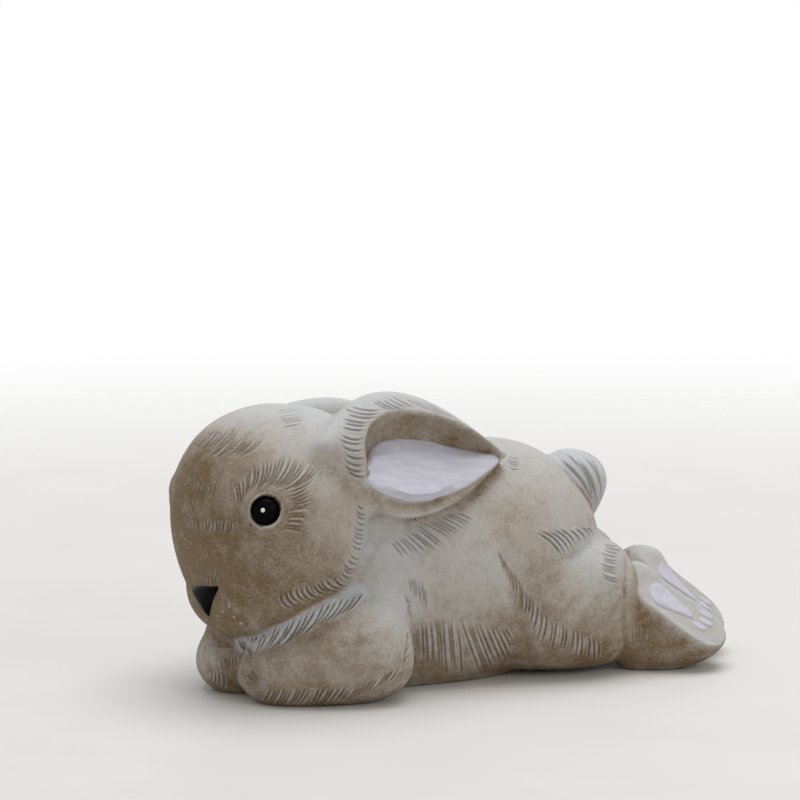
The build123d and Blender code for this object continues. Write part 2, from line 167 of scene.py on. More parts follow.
# Groups of carved strokes. Each row gives the two ends of its first stroke and of its last stroke as places
# in the main view's 800 by 800 picture, the number of strokes, the bow as a share of their length, the depth
# as a share of the full one, the pieces they lie on, and the plane, if any, that mirrors them to the far side.
STROKE_GROUPS = {
    "forehead_upper": ((203, 434), (188, 447), (240, 428), (222, 449), 12, 0.04, 1.0, ("head",), None),
    "forehead_lower": ((226, 440), (209, 457), (262, 440), (242, 457), 11, 0.04, 1.0, ("head",), None),
    "brow": ((189, 476), (185, 487), (210, 487), (207, 497), 7, 0.15, 0.9, ("head",), None),
    "nose_bridge": ((186, 518), (187, 531), (232, 520), (229, 534), 13, 0.05, 1.0, ("head",), None),
    "above_nose": ((198, 572), (201, 585), (217, 574), (215, 585), 5, 0.0, 1.0, ("head",), None),
    "eye_front": ((235, 484), (238, 507), (249, 474), (246, 496), 5, 0.05, 1.0, ("head",), "head"),
    "eye_crown_front": ((250, 491), (253, 466), (268, 487), (285, 453), 8, -0.10, 1.1, ("head",), "head"),
    "eye_crown_back": ((271, 487), (293, 453), (287, 490), (319, 469), 8, -0.10, 1.1, ("head",), "head"),
    "eye_back": ((287, 493), (312, 480), (290, 507), (311, 503), 6, -0.08, 1.0, ("head",), "head"),
    "eye_low": ((289, 511), (310, 509), (283, 529), (302, 532), 6, 0.06, 1.0, ("head",), "head"),
    "head_top": ((279, 411), (303, 409), (283, 428), (303, 424), 7, 0.03, 0.8, ("head",), "head"),
    "cheek_rim_upper": ((358, 505), (369, 509), (352, 545), (363, 549), 9, -0.20, 1.2, ("head",), "head"),
    "cheek_rim_lower": ((350, 553), (361, 558), (340, 573), (353, 579), 5, -0.20, 1.2, ("head",), "head"),
    "jaw_rim": ((333, 577), (347, 586), (280, 593), (290, 608), 11, -0.18, 1.4, ("head",), "head"),
    "ear_root_upper": ((346, 404), (381, 409), (341, 427), (373, 429), 6, -0.08, 1.3, EAR_ROOT, "ear"),
    "ear_root_lower": ((340, 434), (369, 436), (346, 470), (364, 476), 7, -0.14, 1.3, EAR_ROOT, "ear"),
    "ear_back": ((372, 401), (393, 411), (391, 395), (417, 408), 5, -0.05, 1.2, ("left_ear",), "ear"),
    "ear_back_fine": ((398, 395), (433, 411), (428, 403), (472, 425), 7, -0.03, 0.6, ("left_ear",), "ear"),
    "ear_tip": ((508, 456), (521, 459), (509, 468), (520, 469), 5, -0.08, 0.9, ("trunk",), "trunk"),
    "under_ear_front": ((389, 540), (402, 557), (419, 526), (449, 549), 9, 0.03, 1.1, ("trunk",), "trunk"),
    "under_ear_back": ((424, 524), (451, 541), (455, 512), (474, 521), 8, 0.03, 1.0, ("trunk",), "trunk"),
    "bib_right": ((363, 591), (346, 611), (301, 613), (281, 645), 10, 0.08, 1.9, SHOULDER, "head"),
    "bib_middle": ((295, 616), (275, 646), (262, 630), (254, 653), 6, 0.08, 1.9, CHEST, None),
    "bib_left": ((257, 637), (252, 656), (236, 633), (246, 651), 6, -0.08, 1.9, (*CHEST, "head"), None),
    "far_paw_top": ((221, 660), (222, 668), (238, 656), (238, 668), 7, 0.05, 0.9, ("right_foreleg",), None),
    "far_paw_side": ((211, 670), (212, 682), (223, 672), (223, 688), 4, 0.05, 0.9, ("right_foreleg",), None),
    "near_paw_top": ((246, 675), (252, 681), (252, 671), (257, 677), 4, 0.05, 0.9, ("left_foreleg",), None),
    "foreleg_foot": ((270, 690), (264, 702), (310, 688), (299, 706), 10, 0.05, 1.0, FORELEG, "trunk"),
    "foreleg_under": ((319, 688), (311, 704), (345, 687), (333, 703), 6, 0.05, 1.0, FORELEG, "trunk"),
    "foreleg_heel": ((356, 688), (346, 701), (398, 668), (384, 686), 10, 0.05, 1.1, FORELEG, "trunk"),
    "elbow": ((407, 613), (412, 632), (410, 652), (402, 673), 7, -0.10, 1.2, SHOULDER, "trunk"),
    "elbow_top": ((405, 594), (412, 604), (408, 607), (413, 620), 4, -0.08, 1.0, SHOULDER, "trunk"),
    "shoulder": ((408, 577), (410, 594), (424, 586), (426, 610), 6, 0.05, 1.0, ("trunk",), "trunk"),
    "flank_front": ((422, 622), (424, 664), (456, 617), (461, 673), 9, 0.01, 1.1, ("trunk",), "trunk"),
    "flank_back": ((460, 619), (478, 669), (511, 632), (525, 658), 11, 0.01, 1.1, ("trunk",), "trunk"),
    "thigh_edge": ((498, 553), (505, 577), (537, 606), (532, 630), 11, 0.06, 1.1, THIGH, "trunk"),
    "thigh_low": ((542, 614), (536, 643), (598, 640), (598, 661), 12, 0.05, 1.1, ("left_hind_leg",), "trunk"),
    "rump_edge": ((535, 532), (560, 556), (588, 527), (594, 537), 9, 0.12, 1.5, ("trunk",), "trunk"),
    "leg_back": ((602, 543), (620, 547), (600, 576), (619, 582), 11, -0.06, 0.9, HIND_LEGS, None),
    "tail": ((550, 455), (591, 513), (586, 454), (600, 505), 8, 0.14, 1.2, ("tail",), "trunk"),
    "ankle": ((627, 627), (626, 646), (645, 626), (644, 642), 7, 0.03, 0.8, ("left_hind_foot",), None),
}

# Creases. Each row gives a line of places in the same picture, a place on its raised side, the depth, the
# half width, the lift of the raised side, how far the lift reaches, and the plane that mirrors it. The bib's
# depth is negative, because it stands out.
CREASES = {
    "thigh": (
        ((496, 538), (502, 560), (510, 585), (519, 612), (527, 640), (532, 660)),
        (470, 600), 0.6, 2.4, 0.7, 6.0, "trunk",
    ),
    "rump": (((556, 561), (570, 557), (582, 551), (594, 541)), (560, 530), 1.1, 1.3, 0.8, 5.0, "trunk"),
    "ankle": (((627, 556), (626, 570), (625, 585), (625, 600)), (612, 575), 1.3, 1.1, 0.9, 2.5, None),
    "ankle_low": (((625, 600), (625, 620), (626, 640), (628, 656)), (640, 625), 0.5, 1.4, 0.4, 4.0, None),
    "ear_wall": (
        ((381, 503), (400, 509), (422, 508), (445, 501), (468, 488), (488, 472)),
        (420, 521), 1.7, 2.2, 1.5, 3.5, "ear",
    ),
    "bib": (
        ((244, 643), (262, 643), (285, 631), (310, 617), (335, 605), (358, 594)),
        (300, 640), -1.7, 3.0, 0.0, 3.0, "head",
    ),
}

# Swellings of the heels: a place, the height and the radius, in millimetres.
HEEL_SWELLINGS = {
    "left": (np.array((67.6, -23.8, 37.0)), 2.6, 6.0),
    "right": (np.array((83.2, -4.4, 37.9)), 3.2, 6.5),
}

# The swelling of the neck behind the cheek: a place in the picture, the height and the radius in millimetres.
NECK_SWELLING = ((388, 538), 2.2, 8.0)

# Places in the picture where the surface runs smoothly on from piece to piece, each with a radius in
# millimetres, the number of smoothing steps and the plane that mirrors it.
SOFT_PLACES = {
    "elbow": ((388, 598), 10.0, 160.0, "trunk"),
    "elbow_back": ((406, 606), 7.0, 90.0, "trunk"),
    "ear_root": ((380, 519), 7.5, 220.0, "head"),
    "thigh_top": ((504, 563), 6.0, 160.0, "trunk"),
    "thigh_middle": ((527, 605), 8.0, 200.0, "trunk"),
}

# Outlines in the picture of the ear's opening and of the painted part in it.
EAR_OPENING = (
    (368, 482), (366, 455), (372, 437), (385, 424), (405, 414), (425, 413),
    (450, 420), (475, 432), (495, 447), (507, 458), (498, 470), (486, 482),
    (466, 496), (445, 506), (420, 513), (395, 514), (380, 509), (372, 497),
)
EAR_PAINT_TIP = (503, 456)
EAR_PAINT = (
    (366, 480), (366, 465), (371, 450), (380, 442), (400, 438), (425, 440),
    (450, 447), (480, 453), EAR_PAINT_TIP, (502, 459), (488, 471), (470, 484),
    (450, 493), (430, 499), (410, 500), (390, 495), (375, 487),
)

# Places in the picture that take more or less wash and bloom, as more or less of the wash and the rubbing
# and as painted light and shade: paler where the light falls, darker where shade falls. Each gives the place,
# its radius in millimetres, the wash and the bloom added, and the plane that mirrors it.
TINTS = {
    "brow": ((203, 478), 18.0, 0.30, -0.35, "head"),
    "crown": ((262, 440), 14.0, 0.20, -0.25, "head"),
    "face": ((215, 520), 26.0, 0.32, -0.32, "head"),
    "cheek": ((300, 562), 22.0, 0.35, -0.25, "head"),
    "cheek_back": ((360, 540), 12.0, -0.35, 0.35, "head"),
    "elbow": ((395, 602), 12.0, -0.35, 0.45, "trunk"),
    "elbow_low": ((400, 640), 12.0, -0.25, 0.10, "trunk"),
    "neck": ((392, 545), 15.0, -0.45, 0.50, "head"),
    "far_paw": ((215, 650), 12.0, -0.35, 0.15, None),
    "ear_root": ((340, 460), 12.0, -0.20, 0.25, "head"),
    "flank": ((442, 585), 24.0, -0.30, 0.15, "trunk"),
    "valley": ((486, 560), 13.0, -0.30, 0.30, "trunk"),
    "rump": ((514, 518), 11.0, 0.25, -0.30, "trunk"),
    "rump_back": ((560, 525), 10.0, -0.20, 0.20, "trunk"),
    "leg_top": ((599, 559), 13.0, -0.45, 0.60, None),
    "leg_low": ((618, 640), 14.0, 0.30, -0.10, None),
}
SOLE_FACINGS = {"left": np.array((0.3206, -0.5906, 0.7405)), "right": np.array((0.5071, -0.4951, 0.7055))}

# How the wash and the bloom lie: their shares on the whole casting, and what some parts add to them. Besides
# the wash in the hollows and the bloom rubbed on the ridges, the wash carries painted shade low down, on the
# sides turned from the light overhead, on the muzzle and in the ears' openings, and the bloom carries painted
# highlights on the tops and on the burrs beside the strokes. The groove tone paints the shade in the grooves.
PATINA_HEIGHT = 100.0
PATINA_SOFTNESS = 45.0
WASH_LEVEL = 0.36
WASH_IN_HOLLOWS = 0.6
WASH_AND_SHADE_LOW_DOWN = 0.55
WASH_HEIGHT = 0.42
SHADE_OFF_TOPS = 0.30
WASH_AND_SHADE_ON_MUZZLE = 0.60
BLOOM_ON_RIDGES = 0.6
HIGHLIGHT_ON_BURRS = 1.7
BLOOM_ON_BIB = 0.80
BIB_REACH = 4.0
FOOT_WASH = 0.30
SOLE_WASH = 0.55
SOLE_BLOOM = 0.45
TAIL_WASH = -0.4
TAIL_BLOOM = 0.7
OPENING_WASH_AND_SHADE = 0.25
OPENING_BLOOM = 0.1
GROOVE_SHADE_TONE = 1.15
GROOVE_SHADE_LIMIT = 0.62

# Pale whisker specks on the muzzle, and the dark dot in the front corner of the eye, as places in the
# picture. Each has its radius and its height in millimetres.
WHISKER_SPECKS = ((222.5, 611.7), (234.0, 616.7), (241.0, 623.0), (229.0, 606.0))
SPECK_SIZE = (0.5, 0.15)
EYE_CORNER = (250.0, 525.0)
EYE_CORNER_SIZE = (0.7, -0.4)

# The nose's outline from the middle of its top edge, the place of that middle, its roll, how far it stands
# out and how far its edge goes into the muzzle, in millimetres and degrees. The nose and the linings are built
# of the same number of rings.
NOSE_OUTLINE = ((-10.4, 0.3), (0.0, 0.9), (10.4, 0.3), (5.4, -5.4), (0.0, -11.0), (-5.4, -5.4))
NOSE_TOP = (-0.3, 4.2)
NOSE_ROLL = 10.0
NOSE_REACH = 1.6
NOSE_EDGE = 3.0
NOSE_STEP = 0.3
RINGS = 14
NOSE_SOFTNESS = 9.0

# The floor and the lights, in metres: each light has its size, its place and the place it faces.
FLOOR_SIZE = 12.0
FLOOR_DROP = -0.0002
FLOOR_FADE = (0.25, 1.1)
TOP_LIGHT = (1.6, (0.15, 0.10, 1.8), (0.0, 0.0, 0.04))
SIDE_LIGHT = (0.5, (0.55, -1.3, 0.8), (0.0, 0.0, 0.05))

# Smoothing steps: at the seat of the nose, round the eyes, in narrow pits and at folds.
NOSE_STEPS = 60.0
EYE_STEPS = 70.0
PIT_STEPS = 40.0
FOLD_STEPS = 24.0

# How near the strokes and the eyes the points lie closer together, in millimetres.
FINE_BY_STROKES = 1.5
FINE_BY_EYES = 10.5

# How the strokes vary, as shares of their spacing, length and bow; the points along one; the least slope to
# the line of sight and the fewest points that leave a stroke; the furthest that its mirror image is moved.
SPACING_CHANCE = 0.22
LENGTH_CHANCE = 0.12
BOW_CHANCE = 0.02
STROKE_POINTS = 14
STROKE_SLOPE = 0.22
STROKE_FEWEST = 6
MIRROR_REACH = 14.0

# The ribs of the tail: the turns of the first and the last, their number, their ends as shares of the way from
# the tip to the top, and their depth as a share of the full one. The insets put the tip and the top inside the
# tail's box, in millimetres.
TAIL_RIBS = (-0.45, 1.2, 8)
TAIL_RIB_ENDS = (0.10, 0.92)
TAIL_RIB_DEPTH = 1.3
TAIL_TIP_INSET = (3.0, 1.0)
TAIL_TOP_INSET = (4.0, 2.0)
TAIL_SLOPE = (0.83, 0.55)


class RabbitClay(bpy.types.PropertyGroup):
    """Sizes and colours of the carved casting."""

    grain: FloatProperty(
        name="Grain", description="Spacing of the casting's surface points", default=0.0008, unit="LENGTH"
    )
    stroke_depth: FloatProperty(
        name="Stroke depth", description="Depth of a carved stroke", default=0.00044, unit="LENGTH"
    )
    stroke_width: FloatProperty(
        name="Stroke width", description="Half width of a carved stroke", default=0.00037, unit="LENGTH"
    )
    seed: IntProperty(name="Seed", description="Sets how the strokes vary", default=7)
    stone: FloatVectorProperty(
        name="Stone", description="Colour of the bare clay", subtype="COLOR", default=(0.45, 0.400, 0.340)
    )
    # The wash colour also paints the shade on the casting and in its grooves.
    wash_and_shade: FloatVectorProperty(
        name="Wash", description="Brown wash in the hollows", subtype="COLOR", default=(0.185, 0.122, 0.060)
    )
    # The pale, bluish bloom colour also paints the highlights from the light overhead.
    bloom_and_highlight: FloatVectorProperty(
        name="Bloom",
        description="Pale grey rubbed on the raised parts",
        subtype="COLOR",
        default=(0.58, 0.595, 0.61),
    )


class RabbitPaint(bpy.types.PropertyGroup):
    """Colours of the painted and glazed pieces."""

    lilac: FloatVectorProperty(
        name="Lilac",
        description="Paint in the ears and on the pads",
        subtype="COLOR",
        default=(0.62, 0.61, 0.685),
    )
    bead: FloatVectorProperty(
        name="Bead", description="Glaze of the eyes and nose", subtype="COLOR", default=(0.003, 0.003, 0.003)
    )
    glint: FloatProperty(
        name="Glint", description="Radius of the painted glint in an eye", default=0.0008, unit="LENGTH"
    )


class RabbitStage(bpy.types.PropertyGroup):
    """Light and floor."""

    floor: FloatVectorProperty(
        name="Floor", description="Colour of the floor", subtype="COLOR", default=(0.80, 0.79, 0.77)
    )
    top_light: FloatProperty(name="Top light", description="Power of the light overhead", default=19.0)
    side_light: FloatProperty(name="Side light", description="Power of the light at the side", default=2.0)
    sky: FloatProperty(name="Sky", description="Strength of the even light all round", default=0.45)


def solid_arrays(name):
    """Corners in millimetres and triangles of one solid piece."""
    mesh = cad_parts[name].data
    return mesh_points(mesh), mesh_triangles(mesh)


def mesh_from(name, points, triangles):
    """A mesh of triangles from points in millimetres."""
    mesh = bpy.data.meshes.new(name)
    mesh.vertices.add(len(points))
    mesh.vertices.foreach_set("co", (np.asarray(points) * MM).astype(np.float32).ravel())
    mesh.loops.add(len(triangles) * 3)
    mesh.loops.foreach_set("vertex_index", np.asarray(triangles, dtype=np.int32).ravel())
    mesh.polygons.add(len(triangles))
    mesh.polygons.foreach_set("loop_start", np.arange(0, len(triangles) * 3, 3, dtype=np.int32))
    mesh.update(calc_edges=True)
    return mesh


def placed(name, mesh):
    """A new object that shows a mesh, smoothly shaded."""
    mesh.polygons.foreach_set("use_smooth", np.ones(len(mesh.polygons), dtype=bool))
    piece = bpy.data.objects.new(name, mesh)
    bpy.context.scene.collection.objects.link(piece)
    return piece


def remeshed(name, points, triangles, grain):
    """An even mesh round everything the triangles enclose."""
    blank = placed(name, mesh_from(name, points, triangles))
    modifier = blank.modifiers.new("even", "REMESH")
    modifier.mode = "VOXEL"
    modifier.voxel_size = grain
    mesh = bpy.data.meshes.new_from_object(blank.evaluated_get(bpy.context.evaluated_depsgraph_get()))
    bpy.data.objects.remove(blank)
    return mesh


def closed_up(name, points, triangles, grain):
    """An even mesh like the last, with every crevice narrower than twice the filling filled."""
    mesh = remeshed(name, points, triangles, grain)
    surface = mesh_points(mesh)
    triangles = mesh_triangles(mesh)
    mesh = remeshed(name, surface + CREVICE_FILLING * point_normals(surface, triangles), triangles, grain)
    surface = mesh_points(mesh)
    surface = surface - CREVICE_FILLING * point_normals(surface, mesh_triangles(mesh))
    mesh.vertices.foreach_set("co", (surface * MM).astype(np.float32).ravel())
    return mesh


def mesh_points(mesh):
    """The points of a mesh, in millimetres."""
    points = np.empty(len(mesh.vertices) * 3)
    mesh.vertices.foreach_get("co", points)
    return points.reshape(-1, 3) / MM


def mesh_edges(mesh):
    """The two points of each edge of a mesh."""
    edges = np.empty(len(mesh.edges) * 2, dtype=np.int32)
    mesh.edges.foreach_get("vertices", edges)
    return edges.reshape(-1, 2)


def mesh_triangles(mesh):
    """The three points of each triangle of a mesh."""
    mesh.calc_loop_triangles()
    triangles = np.empty(len(mesh.loop_triangles) * 3, dtype=np.int32)
    mesh.loop_triangles.foreach_get("vertices", triangles)
    return triangles.reshape(-1, 3)


def surface_tree(points, triangles):
    """A search tree over a surface, for rays and nearest places."""
    return BVHTree.FromPolygons(points.tolist(), triangles.tolist())


def triangle_edges(triangles):
    """The three edges of every triangle, in its own direction."""
    return np.concatenate((triangles[:, (0, 1)], triangles[:, (1, 2)], triangles[:, (2, 0)]))


def face_normals(points, triangles):
    """The way each triangle faces, as long as twice its area."""
    corners = points[triangles]
    return np.cross(corners[:, 1] - corners[:, 0], corners[:, 2] - corners[:, 0])


def gaps_to(points, place):
    """How far each point lies from a place."""
    return np.linalg.norm(points - place, axis=1)


def bell(gap, width, power=2):
    """One at no gap, falling to nothing as the gap passes the width."""
    return np.exp(-((gap / width) ** power))


def eased(share):
    """A share from nothing to one that starts and ends gently."""
    return share * share * (3 - 2 * share)


def evened(loop, turns):
    """A closed loop of places or values, smoothed along its run."""
    for turn in range(turns):
        loop = (np.roll(loop, 1, axis=0) + 2 * loop + np.roll(loop, -1, axis=0)) / 4
    return loop


def widened(steps, edges, rounds):
    """Smoothing steps that spread to the neighbouring points, fewer each round."""
    for turn in range(rounds):
        wider = steps.copy()
        np.maximum.at(wider, edges[:, 0], 0.8 * steps[edges[:, 1]])
        np.maximum.at(wider, edges[:, 1], 0.8 * steps[edges[:, 0]])
        steps = wider
    return steps


def point_normals(points, triangles):
    """The way the surface faces at each point."""
    faces = face_normals(points, triangles)
    normals = np.zeros_like(points)
    for corner in range(3):
        for axis in range(3):
            normals[:, axis] += np.bincount(triangles[:, corner], faces[:, axis], len(points))
    return normals / np.maximum(np.linalg.norm(normals, axis=1), 1e-12)[:, None]


def relaxed(points, edges, steps, strength=0.5):
    """Moves each point towards the middle of its neighbours, for as many steps as its own entry says."""
    points = points.copy()
    degree = np.maximum(np.bincount(edges.ravel(), minlength=len(points)), 1)
    for step in range(int(np.ceil(steps.max()))):
        share = np.clip(steps - step, 0, 1) * strength
        for axis in range(3):
            line = points[:, axis]
            total = np.bincount(edges[:, 0], line[edges[:, 1]], len(points))
            total += np.bincount(edges[:, 1], line[edges[:, 0]], len(points))
            points[:, axis] = line + share * (total / degree - line)
    return points


def view_axes():
    """The camera's directions ahead, to the right and up, and the picture steps in one unit of slope."""
    ahead = CAMERA_AIM - CAMERA_PLACE
    ahead = ahead / np.linalg.norm(ahead)
    across = np.cross(ahead, (0, 0, 1))
    across = across / np.linalg.norm(across)
    camera = bpy.context.scene.camera.data
    return ahead, across, np.cross(across, ahead), camera.lens / camera.sensor_width * PICTURE_SIDE


def picture_ray(place):
    """Direction from the camera through a place in the main view's picture."""
    ahead, across, upward, reach = view_axes()
    right = (place[0] - PICTURE_SIDE / 2) / reach
    up = (PICTURE_SIDE / 2 - place[1]) / reach
    return ahead + across * right + upward * up


def picture_places(points):
    """Where points come out in the main view's picture."""
    ahead, across, upward, reach = view_axes()
    offset = points - CAMERA_PLACE
    depth = offset @ ahead
    right = PICTURE_SIDE / 2 + reach * (offset @ across) / depth
    down = PICTURE_SIDE / 2 - reach * (offset @ upward) / depth
    return np.stack((right, down), axis=1)


def within(places, outline):
    """Which places in the picture an outline encloses."""
    inside = np.zeros(len(places), dtype=bool)
    for start, end in zip(outline, outline[1:] + outline[:1]):
        spans = (places[:, 1] < start[1]) != (places[:, 1] < end[1])
        rise = (end[1] - start[1]) or 1e-9
        inside ^= spans & (places[:, 0] < start[0] + (places[:, 1] - start[1]) / rise * (end[0] - start[0]))
    return inside


def mirrored(points, plane):
    """The matching points on the far side, across the head or the trunk or from ear to ear."""
    if plane == "ear":
        return swapped_ear(points, "left", "right")
    middle, sideways = (HEAD_MIDDLE, HEAD_SIDEWAYS) if plane == "head" else (TRUNK_MIDDLE, TRUNK_SIDEWAYS)
    return points - 2 * ((points - middle) @ sideways)[:, None] * sideways


def both_sides(points, plane):
    """The points and, where a plane is given, their mirror images."""
    return np.concatenate((points, mirrored(points, plane))) if plane else points


def stroke_lines(tree, face_piece, seed):
    """The carved strokes as lines of points on the surface, each with its depth."""
    chance = np.random.default_rng(seed)
    lines = []
    for *corners, count, bow, depth, pieces, mirror in STROKE_GROUPS.values():
        first = np.array(corners[:2], dtype=float)
        last = np.array(corners[2:], dtype=float)
        for number in range(count):
            share = np.clip((number + chance.uniform(-SPACING_CHANCE, SPACING_CHANCE)) / (count - 1), 0, 1)
            ends = first + (last - first) * share
            run = ends[1] - ends[0]
            ends[0] += run * chance.uniform(-LENGTH_CHANCE, LENGTH_CHANCE)
            ends[1] += run * chance.uniform(-LENGTH_CHANCE, LENGTH_CHANCE)
            run = ends[1] - ends[0]
            side = np.array((run[1], -run[0])) * (bow + chance.uniform(-BOW_CHANCE, BOW_CHANCE))
            points = []
            for along in np.linspace(0, 1, STROKE_POINTS):
                place = ends[0] + run * along + side * 4 * along * (1 - along)
                sight = Vector(picture_ray(place)).normalized()
                hit, normal, face, distance = tree.ray_cast(Vector(CAMERA_PLACE), sight)
                if hit is not None and face_piece[face] in pieces and normal.dot(sight) < -STROKE_SLOPE:
                    points.append(hit)
            if len(points) < STROKE_FEWEST:
                continue
            points = np.array(points)
            lines.append((points, depth))
            if mirror:
                copies = [tree.find_nearest(Vector(point)) for point in mirrored(points, mirror)]
                far = np.array([hit for hit, normal, face, distance in copies if distance < MIRROR_REACH])
                if len(far) >= STROKE_FEWEST:
                    lines.append((far, depth))
    return lines


def on_surface(tree, places):
    """Where the lines of sight through places in the picture first meet the surface."""
    sight = [Vector(picture_ray(place)).normalized() for place in places]
    return np.array([tree.ray_cast(Vector(CAMERA_PLACE), direction)[0] for direction in sight])


def snapped(tree, points):
    """The nearest places on the surface to some points."""
    return np.array([tree.find_nearest(Vector(point))[0] for point in points])


def even_steps(route, step):
    """A line through the given places with even steps."""
    reach = np.concatenate(((0.0,), np.cumsum(np.linalg.norm(np.diff(route, axis=0), axis=1))))
    along = np.linspace(0, reach[-1], int(reach[-1] / step) + 2)
    return np.stack([np.interp(along, reach, route[:, axis]) for axis in range(route.shape[1])], axis=1)


def tail_lines(tree, face_piece):
    """Strokes that run up the tail from its tip, like the ribs of a leaf."""
    low, high = (np.array(corner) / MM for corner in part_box("tail"))
    middle = (low + high) / 2
    tip = np.array((high[0] - TAIL_TIP_INSET[0], middle[1], low[2] + TAIL_TIP_INSET[1]))
    top = np.array((low[0] + TAIL_TOP_INSET[0], middle[1], high[2] - TAIL_TOP_INSET[1]))
    lines = []
    for lean in np.linspace(*TAIL_RIBS):
        outward = np.array((TAIL_SLOPE[0] * math.cos(lean), math.sin(lean), TAIL_SLOPE[1] * math.cos(lean)))
        points = []
        for along in np.linspace(*TAIL_RIB_ENDS, STROKE_POINTS):
            start = tip + (top - tip) * along
            hit, normal, face, distance = tree.ray_cast(Vector(start + outward * 40), Vector(-outward))
            if hit is not None and face_piece[face] == "tail":
                points.append(hit)
        if len(points) >= STROKE_FEWEST:
            lines.append((np.array(points), TAIL_RIB_DEPTH))
    return lines


def stroke_samples(lines):
    """Close points along every stroke, with the depth at each, fading towards the ends."""
    places = []
    depths = []
    for points, depth in lines:
        steps = np.linalg.norm(np.diff(points, axis=0), axis=1)
        runs = np.split(points, np.nonzero(steps > 3 * np.median(steps) + 0.5)[0] + 1)
        points = max(runs, key=len)
        if len(points) < 4:
            continue
        steps = np.linalg.norm(np.diff(points, axis=0), axis=1)
        reach = np.concatenate(((0.0,), np.cumsum(steps)))
        along = np.linspace(0, reach[-1], max(int(reach[-1] / 0.3), 4))
        places.append(np.stack([np.interp(along, reach, points[:, axis]) for axis in range(3)], axis=1))
        share = along / reach[-1]
        depths.append(depth * np.clip(np.minimum(share * 5.0, (1 - share) * 3.2), 0.12, 1.0))
    return np.concatenate(places), np.concatenate(depths)


def nearest_samples(points, places, limit):
    """For each point, the nearest stroke sample and its distance, or the limit where none is near."""
    low = places.min(axis=0) - limit
    high = places.max(axis=0) + limit
    tree = KDTree(len(places))
    for number, place in enumerate(places):
        tree.insert(place, number)
    tree.balance()
    distance = np.full(len(points), limit)
    nearest = np.zeros(len(points), dtype=np.int32)
    for number in np.nonzero(np.all((points > low) & (points < high), axis=1))[0]:
        place, index, gap = tree.find(points[number])
        if gap < limit:
            distance[number] = gap
            nearest[number] = index
    return distance, nearest


def piece_labels(points, tree, owner):
    """The number of the cast piece that each point lies on."""
    labels = np.empty(len(points), dtype=np.int32)
    for number, point in enumerate(points):
        labels[number] = owner[tree.find_nearest(point)[2]]
    return labels


def tidy_face_labels(triangles, labels, rounds=12):
    """One label per triangle, with stray triangles given to their surroundings."""
    count = labels.max() + 1
    face_labels = np.median(labels[triangles], axis=1).astype(np.int32)
    for turn in range(rounds):
        votes = np.zeros((len(labels), count), dtype=np.int16)
        for corner in range(3):
            np.add.at(votes, (triangles[:, corner], face_labels), 1)
        face_votes = votes[triangles].sum(axis=1)
        face_labels = face_votes.argmax(axis=1).astype(np.int32)
    return face_labels


def open_loops(triangles):
    """The edges that only one triangle uses, chained into loops."""
    ways = triangle_edges(triangles)
    there = ways[:, 0].astype(np.int64) * (triangles.max() + 1) + ways[:, 1]
    back = ways[:, 1].astype(np.int64) * (triangles.max() + 1) + ways[:, 0]
    rim = ways[~np.isin(there, back)]
    onward = {}
    for start, end in rim:
        onward.setdefault(int(start), []).append(int(end))
    loops = []
    while onward:
        start = next(iter(onward))
        loop = [start]
        while True:
            ends = onward[loop[-1]]
            end = ends.pop()
            if not ends:
                del onward[loop[-1]]
            if end == start:
                break
            loop.append(end)
            if end not in onward:
                break
        loops.append(loop)
    return loops


def capped(points, normals, triangles):
    """A closed piece: the surface with each open rim filled by a fan to its middle."""
    used, corners = np.unique(triangles, return_inverse=True)
    corners = corners.reshape(-1, 3)
    places = points[used]
    facing = normals[used]
    fans = []
    middles = []
    for loop in open_loops(corners):
        if len(loop) < 3:
            continue
        middle = len(places) + len(middles)
        middles.append(places[loop].mean(axis=0))
        for here, onward in zip(loop, loop[1:] + loop[:1]):
            fans.append((onward, here, middle))
    if middles:
        places = np.concatenate((places, middles))
        facing = np.concatenate((facing, np.tile((0.0, 0.0, 1.0), (len(middles), 1))))
        corners = np.concatenate((corners, np.array(fans, dtype=corners.dtype)))
    return used, places, facing, corners


def material_tree(name):
    """A new material with its nodes and its shader."""
    material = bpy.data.materials.new(name)
    material.use_nodes = True
    tree = material.node_tree
    tree.nodes.clear()
    shader = tree.nodes.new("ShaderNodeBsdfPrincipled")
    output = tree.nodes.new("ShaderNodeOutputMaterial")
    tree.links.new(shader.outputs["BSDF"], output.inputs["Surface"])
    return material, tree, shader


def noise(tree, scale, detail, roughness=0.5):
    """Noise laid over the object, from nothing to one."""
    places = tree.nodes.new("ShaderNodeTexCoord")
    texture = tree.nodes.new("ShaderNodeTexNoise")
    texture.inputs["Scale"].default_value = scale
    texture.inputs["Detail"].default_value = detail
    texture.inputs["Roughness"].default_value = roughness
    tree.links.new(places.outputs["Object"], texture.inputs["Vector"])
    return texture.outputs["Fac"]


def ramp(tree, source, low, high, bottom=0.0, top=1.0):
    """A value eased from one range into another."""
    node = tree.nodes.new("ShaderNodeMapRange")
    node.interpolation_type = "SMOOTHSTEP"
    node.inputs["From Min"].default_value = low
    node.inputs["From Max"].default_value = high
    node.inputs["To Min"].default_value = bottom
    node.inputs["To Max"].default_value = top
    tree.links.new(source, node.inputs["Value"])
    return node.outputs["Result"]


def maths(tree, operation, first, second):
    """Two values joined by a sum or a greater-of."""
    node = tree.nodes.new("ShaderNodeMath")
    node.operation = operation
    node.use_clamp = operation == "ADD"
    for socket, value in zip(node.inputs, (first, second)):
        if isinstance(value, float):
            socket.default_value = value
        else:
            tree.links.new(value, socket)
    return node.outputs["Value"]


